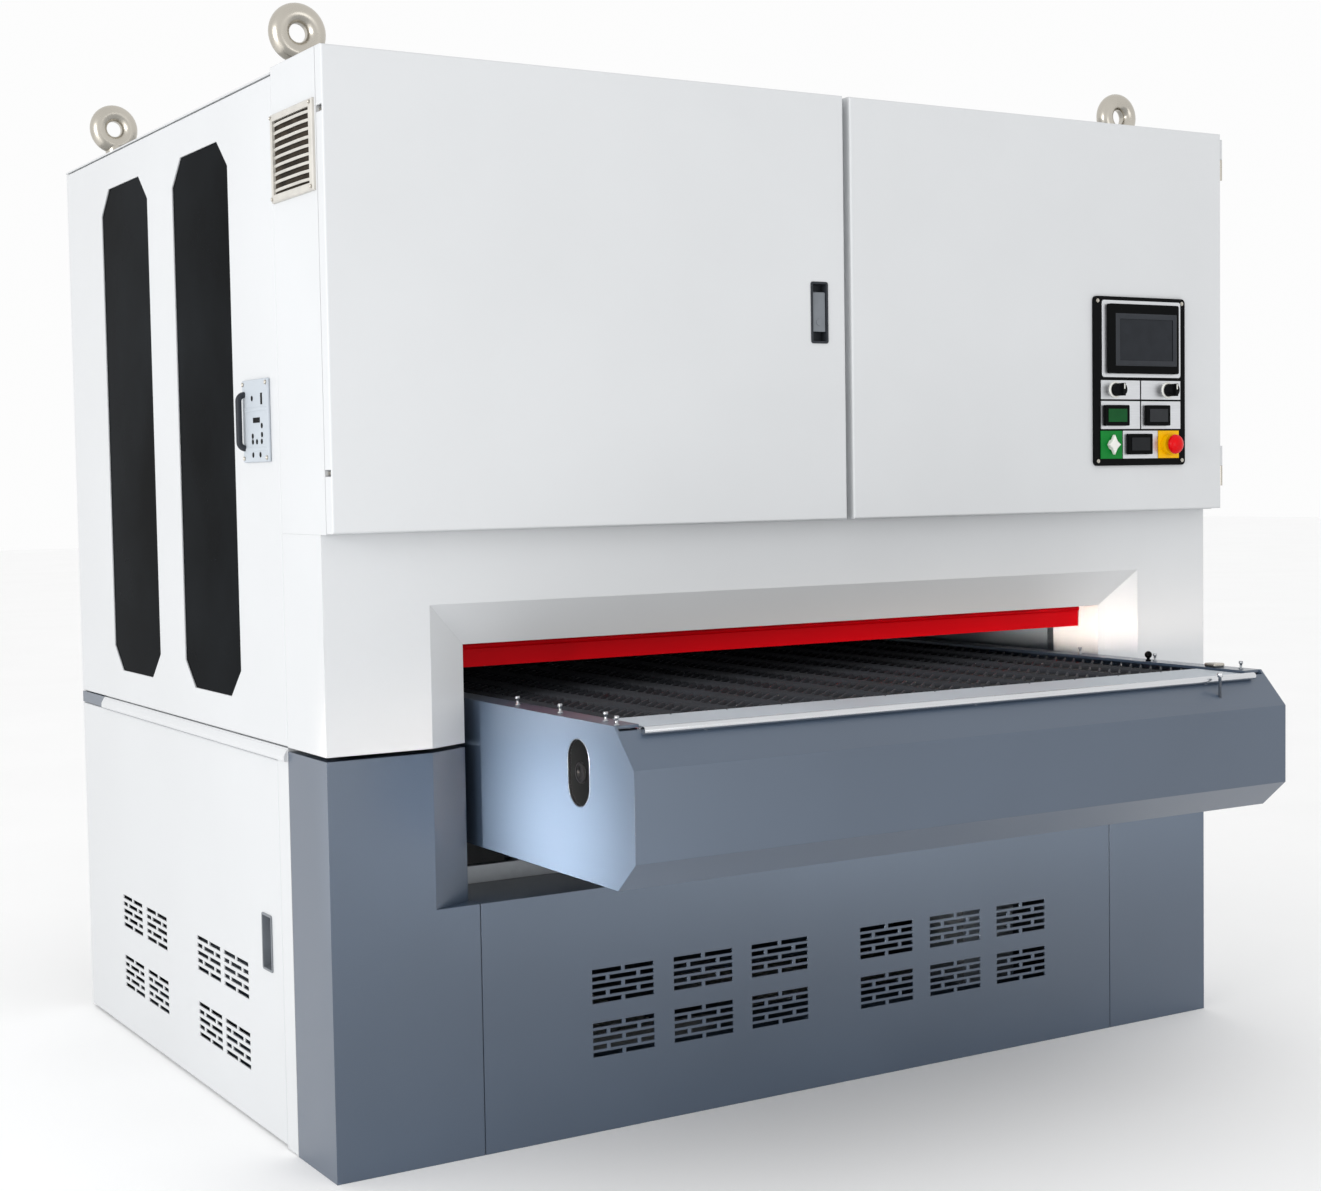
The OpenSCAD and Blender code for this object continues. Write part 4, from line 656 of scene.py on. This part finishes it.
def fan_ring(out, inset):
    """The corners of the frame at a distance out from the cabinet and in from its edge."""
    d0, d1 = FAN_D[0] + inset, FAN_D[1] - inset
    z0, z1 = FAN_Z[0] + inset, FAN_Z[1] - inset
    return [at(-CASING_X - out, d, z) for d, z in ((d0, z0), (d1, z0), (d1, z1), (d0, z1))]


rings = [fan_ring(*step) for step in FRAME_STEPS]
keep(looped("fan_frame", rings, MATS["grille"]), "casing", "grille", "fan_grille")
rings = [fan_ring(out, FAN_RIM + FOAM_GAP) for out in FOAM_OUT]
# The foam's dark brown is painted shade behind the slats.
keep(lofted("fan_filter", rings, MATS["filter_dark"]), "casing", "knob_black")
screws = [(at(-CASING_X - FAN_SCREW_OUT, d, z), OUT_LEFT) for d in FAN_SCREW_D for z in FAN_SCREW_Z]
keep(repeated("fan_screws", screws, cap_screw(3.5, 1.6), MATS["zinc"]), "casing", "zinc")

# %% Fan slats
FAN_SLATS, SLAT_LIFT, SLAT_BOW, SLAT_STEPS = 9, 2.5, 4.0, 14
SLAT_HALF = (FAN_D[1] - FAN_D[0]) / 2 - FAN_RIM + 1
SLAT_SECTION = ((-2.4, -1.6), (2.4, 0), (2.4, 1.1), (-2.4, -0.5))
rings = []
for i in range(SLAT_STEPS + 1):
    t = 2 * i / SLAT_STEPS - 1
    rise = SLAT_LIFT + SLAT_BOW * (1 - t**4)
    rings.append([Vector((x, t * SLAT_HALF, rise + h)) * MM for x, h in SLAT_SECTION])
slat = lofted("slat_piece", rings, MATS["grille"])
pitch = (FAN_Z[1] - FAN_Z[0] - 2 * FAN_RIM) / FAN_SLATS
heights = [FAN_Z[0] + FAN_RIM + (i + 0.5) * pitch for i in range(FAN_SLATS)]
places = [(at(-CASING_X, (FAN_D[0] + FAN_D[1]) / 2, z), OUT_LEFT) for z in heights]
keep(repeated("fan_slats", places, slat, MATS["grille"]), "casing", "grille", "fan_grille")

# %% [markdown]
# ## Side latch
# The upper side door closes with a pale pressed plate, pierced by slots and holes, and a slim dark bow
# to pull. The solid of the latch is one piece, so a plate and a bow in their own finishes stand for it.
# The holes could be cut by a boolean, but black raised pieces look the same at this size and keep the
# plate's mesh clean; they are painted shade where the holes and slots are.

# %% Latch plate
LATCH_D, LATCH_Z, LATCH_FACE = (233.5, 370.5), (1321.0, 1479.0), -1106.0
LATCH_SCREW_D, LATCH_SCREW_Z = (241, 363), (1329, 1471)
low, high = at(LATCH_FACE, LATCH_D[0], LATCH_Z[0]), at(-CASING_X, LATCH_D[1], LATCH_Z[1])
plate = soft_block("latch_plate", low, high, 2.6, MATS["anodised"])
keep(plate, "upper_side_door", "zinc", "side_latch")
RIDGE_SECTION = ((240, 0), (243, 1.8), (361, 1.8), (364, 0))
RIDGE_STEPS = ((-5, 0.2), (-2, 1), (2, 1), (5, 0.2))
RIDGE_ROOT = LATCH_FACE + 0.4
for name, z in (("latch_ridge_0", 1422), ("latch_ridge_1", 1346)):
    rings = [[at(RIDGE_ROOT - out * k, d, z + dz) for d, out in RIDGE_SECTION] for dz, k in RIDGE_STEPS]
    keep(lofted(name, rings, MATS["anodised"]), "upper_side_door", "zinc")
screws = [(at(LATCH_FACE, d, z), OUT_LEFT) for d in LATCH_SCREW_D for z in LATCH_SCREW_Z]
keep(repeated("latch_screws", screws, cap_screw(4.2, 2.4), MATS["zinc"]), "upper_side_door", "zinc")

# %% Latch holes and slots
HOLE_PROFILE = [(0, 0), (5.2, 0), (5.2, 0.5), (4.4, 0.7), (0, 0.2)]
HOLE_SPOTS = (
    (316, 1443), (266, 1390), (316, 1371), (266, 1373), (316, 1360), (294, 1360), (268, 1360), (316, 1335),
    (277, 1335),
)
SLOT_SPOTS = (("latch_slot_0", (276, 312), (1396, 1406)), ("latch_slot_1", (261, 270), (1430, 1452)))
# Black raised discs and bars on the plate: painted shade where its holes and slots are.
hole = add_mesh("hole_piece", *turned(HOLE_PROFILE, 16), MATS["bezel_black"], True)
places = [(at(LATCH_FACE, d, z), OUT_LEFT) for d, z in HOLE_SPOTS]
keep(repeated("latch_holes", places, hole, MATS["bezel_black"]), "upper_side_door", "knob_black")
for name, (d0, d1), (z0, z1) in SLOT_SPOTS:
    low, high = at(LATCH_FACE - 0.7, d0, z0), at(LATCH_FACE + 0.3, d1, z1)
    keep(soft_block(name, low, high, 0.4, MATS["bezel_black"]), "upper_side_door", "knob_black")

# %% Latch bow
BOW_D, BOW_R, BOW_SIDES = 358.0, 6.0, 16
BOW_FOOT, BOW_CREST, BOW_Z, BOW_BEND = 1103.0, 1118.0, (1348.5, 1451.5), 12.0


def bow_path(low, high, bend):
    """The bow's centre line in (distance out, height), with round bends."""
    quarter = [math.radians(90 * k / 8) for k in range(9)]
    inner = BOW_CREST - bend
    path = [(BOW_FOOT, low)]
    path += [(inner + bend * math.sin(a), low + bend * (1 - math.cos(a))) for a in quarter]
    path += [(inner + bend * math.cos(a), high - bend * (1 - math.sin(a))) for a in quarter]
    return path + [(BOW_FOOT, high)]


path = bow_path(*BOW_Z, BOW_BEND)
rings = []
for i, (out, z) in enumerate(path):
    before, after = path[max(i - 1, 0)], path[min(i + 1, len(path) - 1)]
    run = math.hypot(after[0] - before[0], after[1] - before[1])
    normal = ((after[1] - before[1]) / run, (before[0] - after[0]) / run)
    ring = []
    for k in range(BOW_SIDES):
        a = 2 * math.pi * k / BOW_SIDES
        across = BOW_R * math.cos(a)
        ring.append(at(-out - normal[0] * across, BOW_D + BOW_R * math.sin(a), z + normal[1] * across))
    rings.append(ring)
keep(lofted("latch_bow", rings, MATS["handle_grey"], True), "upper_side_door", "handle_grey", "side_latch")
print("bow rings:", len(rings))

# %% [markdown]
# ## Control panel fittings
# The operator's panel has white rings and pointers on its selectors, bright corner screws, a frame
# round the screen and a white star knob on the green tile. The star is built from scaled outlines, so
# its points stay crisp where a smoothed shape would round them.

# %% Selectors and panel screws
PANEL_FACE, LEGEND_FACE, MARK_FACE, FRONT = -62.0, -64.0, -94.0, (0, -1, 0)
PANEL_AT, PANEL_SCREW_X, PANEL_SCREW_Z = (840.0, 1477.0), (-128, 128), (-177, 177)
SELECTOR_Z, MARK_HALF, MARK_Z = 1458, 1.4, (1459, 1470.5)
RING_PROFILE = [(14.3, 0), (18.5, 0), (18.5, 1.6), (17, 3.2), (14.3, 3.2), (14.3, 0)]
spots = [(PANEL_AT[0] + dx, PANEL_AT[1] + dz) for dx in PANEL_SCREW_X for dz in PANEL_SCREW_Z]
places = [(at(x, PANEL_FACE, z), FRONT) for x, z in spots]
keep(repeated("panel_screws", places, cap_screw(4.5, 2.0), MATS["zinc"]), "front_right_door", "zinc")
for side, body, x in (("left", "selector_l", 762.0), ("right", "selector_r", 922.0)):
    seat = at(x, LEGEND_FACE, SELECTOR_Z)
    ring = turned_piece("selector_ring_" + side, RING_PROFILE, seat, FRONT, MATS["knob_white"])
    keep(ring, "front_right_door", "knob_white")
    low, high = at(x - MARK_HALF, MARK_FACE - 0.8, MARK_Z[0]), at(x + MARK_HALF, MARK_FACE + 0.4, MARK_Z[1])
    keep(soft_block("selector_mark_" + side, low, high, 0.4, MATS["knob_white"]), body, "knob_white")

# %% Screen frame
SCREEN_AT, SCREEN_HALF = (850.0, 1569.0), (81.0, 46.0)
SCREEN_STEPS = ((0, -70.5), (0, -72.4), (9, -73.2), (12, -72.0), (12, -70.5))
rings = []
for grow, d in SCREEN_STEPS:
    hx, hz = SCREEN_HALF[0] + grow, SCREEN_HALF[1] + grow
    rings.append([at(SCREEN_AT[0] + sx * hx, d, SCREEN_AT[1] + sz * hz) for sx, sz in CORNERS])
keep(looped("screen_frame", rings, MATS["handle_grey"]), "front_right_door", "handle_grey")
print("screen width:", 2 * SCREEN_HALF[0], "mm")

# %% Star knob
STAR_AT, STAR_TIPS, STAR_WAIST = (751.0, 1336.0), (22.0, 18.0), 11.0
STAR_STEPS = ((-68, 1.0), (-75, 1.0), (-77, 0.8))
BASE_PROFILE = [(0, 0), (12, 0), (12, 3.5), (11, 4.5), (0, 4.5)]


def star_ring(d, scale):
    """A four-pointed outline at a depth."""
    ring = []
    for k in range(8):
        a = math.pi / 4 * k
        r = scale * (STAR_WAIST if k % 2 else STAR_TIPS[(k // 2 + 1) % 2])
        ring.append(at(STAR_AT[0] + r * math.cos(a), d, STAR_AT[1] + r * math.sin(a)))
    return ring


star = lofted("direction_star", [star_ring(*step) for step in STAR_STEPS], MATS["knob_white"])
keep(star, "direction_switch", "knob_white", "direction_knob")
seat = at(STAR_AT[0], LEGEND_FACE, STAR_AT[1])
base = turned_piece("direction_base", BASE_PROFILE, seat, FRONT, MATS["knob_white"])
keep(base, "direction_switch", "knob_white", "direction_knob")
print("star height:", 2 * STAR_TIPS[0], "mm")

# %% [markdown]
# ## Switchgear
# Behind the cabinet doors stand two drives, a row of contactors and three fuse holders over a slotted
# wiring duct. The solids give their cases in one cream plastic. Dark fronts, screws, levers and wires
# set them apart when a door opens. Every kind stands in a row, so one piece of each is made and
# repeated.

# %% Fronts and wires
DUCT_TOP, DUCT_FACE, DUCT_MID, WIRE_D = 1350.0, 127.0, 1320.0, 155.0
SCREW_INSET = 10
DRIVES = dict(kind="drive", middles=(-800, -540), low=1560, high=1900, face=37, cover=(176, 300, 5))
CONTACTORS = dict(kind="contactor", middles=(-270, -190, -110, -30, 50, 130), low=1700, high=1790, face=92,
                  cover=(46, 46, 4))
FUSES = dict(kind="fuse", middles=(350, 480, 610), low=1620, high=1800, face=67, cover=(80, 120, 6))


def wire(length, bow=14.0, radius=2.2, steps=12, sides=8):
    """A wire that stands on the origin and bows out to the front."""
    rings = []
    for i in range(steps + 1):
        middle = Vector((0, -bow * math.sin(math.pi * i / steps), length * i / steps))
        turns = [2 * math.pi * k / sides for k in range(sides)]
        rings.append([(middle + Vector((radius * math.cos(a), radius * math.sin(a), 0))) * MM for a in turns])
    return lofted("wire_piece", rings, MATS["drive_rubber"], True)


def raised(width, height, rise, material):
    """A flat block with rounded edges, which stands on the origin."""
    half = Vector((width, height, 0)) * MM / 2
    return soft_block("raised_piece", -half, half + Vector((0, 0, rise)) * MM, min(rise / 3, 1.5), material)


for row in (DRIVES, CONTACTORS, FUSES):
    kind, middles, low, high, face = [row[key] for key in ("kind", "middles", "low", "high", "face")]
    width, height, rise = row["cover"]
    fronts = [(at(x, face, (low + high) / 2), FRONT) for x in middles]
    cover = raised(width, height, rise, MATS["handle_grey"])
    keep(repeated(kind + "_fronts", fronts, cover, MATS["handle_grey"]), "casing", "handle_grey")
    across = [x + k * width / 3 for x in middles for k in (-1, 0, 1)]
    spots = [(at(x, face, z), FRONT) for x in across for z in (low + SCREW_INSET, high - SCREW_INSET)]
    keep(repeated(kind + "_screws", spots, cap_screw(3.5, 1.6), MATS["zinc"]), "casing", "zinc")
    feet = [(at(x, WIRE_D, DUCT_TOP), UP) for x in across]
    keep(repeated(kind + "_wires", feet, wire(low - DUCT_TOP), MATS["drive_rubber"]), "casing", "knob_black")

# %% Screens, keys, levers and slits
DISPLAY_Z, KEY_X, KEY_Z, LEVER_Z = 1820, (-30, 0, 30), (1770, 1745), 1710
SLIT_FROM, SLIT_PITCH, SLITS = -862.5, 25, 70
drive_face, fuse_face = [row["face"] - row["cover"][2] for row in (DRIVES, FUSES)]
displays = [(x, DISPLAY_Z) for x in DRIVES["middles"]]
keys = [(x + k, z) for x in DRIVES["middles"] for k in KEY_X for z in KEY_Z]
levers = [(x, LEVER_Z) for x in FUSES["middles"]]
slits = [(SLIT_FROM + SLIT_PITCH * i, DUCT_MID) for i in range(SLITS)]
for name, size, slot, d, spots in (
    ("drive_screens", (90, 44, 2), "lens_green", drive_face, displays),
    ("drive_keys", (20, 14, 3), "paddle_grey", drive_face, keys),
    ("fuse_levers", (18, 70, 16), "stop_red", fuse_face, levers),
    # The duct's slots are thin black strips on its face: painted shade where the openings are.
    ("duct_slits", (7, 40, 0.6), "bezel_black", DUCT_FACE, slits),
):
    places = [(at(x, d, z), FRONT) for x, z in spots]
    keep(repeated(name, places, raised(*size, MATS[slot]), MATS[slot]), "casing", slot)

# %% [markdown]
# ## Fixings
# Sheet panels are held by rows of cap screws. They are set along the edges of the rear panels and of
# the roof, and on the hinge leaves, where a fitter would put them.

# %% Panel and hinge screws
REAR_FACE, ROOF_Z, LEAF_T, BACK = 1572.0, 2038.0, 4, (0, 1, 0)
REAR_EDGE_X, REAR_EDGE_Z = 1052, (60, 260, 460, 660, 860, 1060, 1260, 1460, 1660, 1860, 2010)
REAR_ROW_X, REAR_ROW_Z = (-790, -530, -265, 0, 265, 530, 790), (60, 440, 1010, 2010)
ROOF_EDGE_X, ROOF_EDGE_D = 1080, (300, 560, 820, 1080, 1300, 1540)
ROOF_ROW_X, ROOF_ROW_D = (-820, -410, 0, 410, 820), 1548
LEAF_X, HINGE_Z, LEAF_DROP = (-1072, -1056), (1000, 1800, 180, 600), (11, 35)
rear_spots = [(s * REAR_EDGE_X, z) for s in (-1, 1) for z in REAR_EDGE_Z]
rear_spots += [(x, z) for x in REAR_ROW_X for z in REAR_ROW_Z]
places = [(at(x, REAR_FACE, z), BACK) for x, z in rear_spots]
keep(repeated("rear_screws", places, cap_screw(6.5, 4.0), MATS["zinc"]), "casing", "zinc")
roof_spots = [(s * ROOF_EDGE_X, d) for s in (-1, 1) for d in ROOF_EDGE_D]
roof_spots += [(x, ROOF_ROW_D) for x in ROOF_ROW_X]
places = [(at(x, d, ROOF_Z), UP) for x, d in roof_spots]
keep(repeated("roof_screws", places, cap_screw(5.5, 3.0), MATS["zinc"]), "casing", "zinc")
hinge_spots = [(x, z - drop) for x in LEAF_X for z in HINGE_Z for drop in LEAF_DROP]
places = [(at(x, REAR_FACE + LEAF_T, z), BACK) for x, z in hinge_spots]
keep(repeated("hinge_screws", places, cap_screw(4.0, 2.0), MATS["zinc"]), "casing", "zinc")

# %% [markdown]
# ## Floor and light
# The photograph is a cut-out on white, lit evenly with a brighter left side. A white sky gives the even
# light, a large soft lamp stands to the left, a low one lights the throat, and a narrow, slightly warm
# one picks out the table's left side. A pale floor takes the contact shadow.

# %% Floor and sky
FLOOR_REACH, SKY_STRENGTH = 40.0, 0.98
floor_corners = [Vector((sx * FLOOR_REACH, sy * FLOOR_REACH, 0)) for sx, sy in CORNERS]
# Painted concrete: matt and nearly white, so that only the contact shadow shows.
floor_finish = finish("matt_white_floor", "#FBFBFB", tone=(0.99, 1.01), tone_mm=900, rough=(0.7, 0.8),
                      grain_mm=40.0, depth_mm=0.1, constants=DULL)
floor = add_mesh("floor", floor_corners, [(0, 1, 2, 3)], floor_finish)

world = bpy.data.worlds.new("studio")
bpy.context.scene.world = world
world.use_nodes = True
sky = world.node_tree.nodes["Background"]
sky.inputs["Color"].default_value = (1.0, 1.0, 1.0, 1.0)
sky.inputs["Strength"].default_value = SKY_STRENGTH
print("floor width:", 2 * FLOOR_REACH, "m")


# %% Lamps
def soft_lamp(name, place, target, size, watts, beam=180, tint="#FFFFFF"):
    """A square lamp that faces a point, with its beam's full angle in degrees."""
    data = bpy.data.lights.new(name, "AREA")
    data.shape = "SQUARE"
    data.size = size
    data.energy = watts
    data.color = linear(tint)[:3]
    data.spread = math.radians(beam)
    lamp = bpy.data.objects.new(name, data)
    lamp.location = place
    lamp.rotation_euler = (Vector(target) - Vector(place)).to_track_quat("-Z", "Y").to_euler()
    bpy.context.scene.collection.objects.link(lamp)


soft_lamp("left_lamp", (-6.0, -2.6, 2.0), (-0.9, -0.3, 1.0), size=3.0, watts=150)
soft_lamp("low_lamp", (0.8, -6.5, 0.9), (0, -0.8, 0.9), size=3.0, watts=36)
soft_lamp("table_lamp", (-4.6, -1.9, 0.7), (-0.775, -0.95, 0.64), size=0.35, watts=4.8, beam=8,
          tint="#FFEFE0")
bpy.context.scene.view_settings.view_transform = "Standard"
print("lamps:", len(bpy.data.lights))
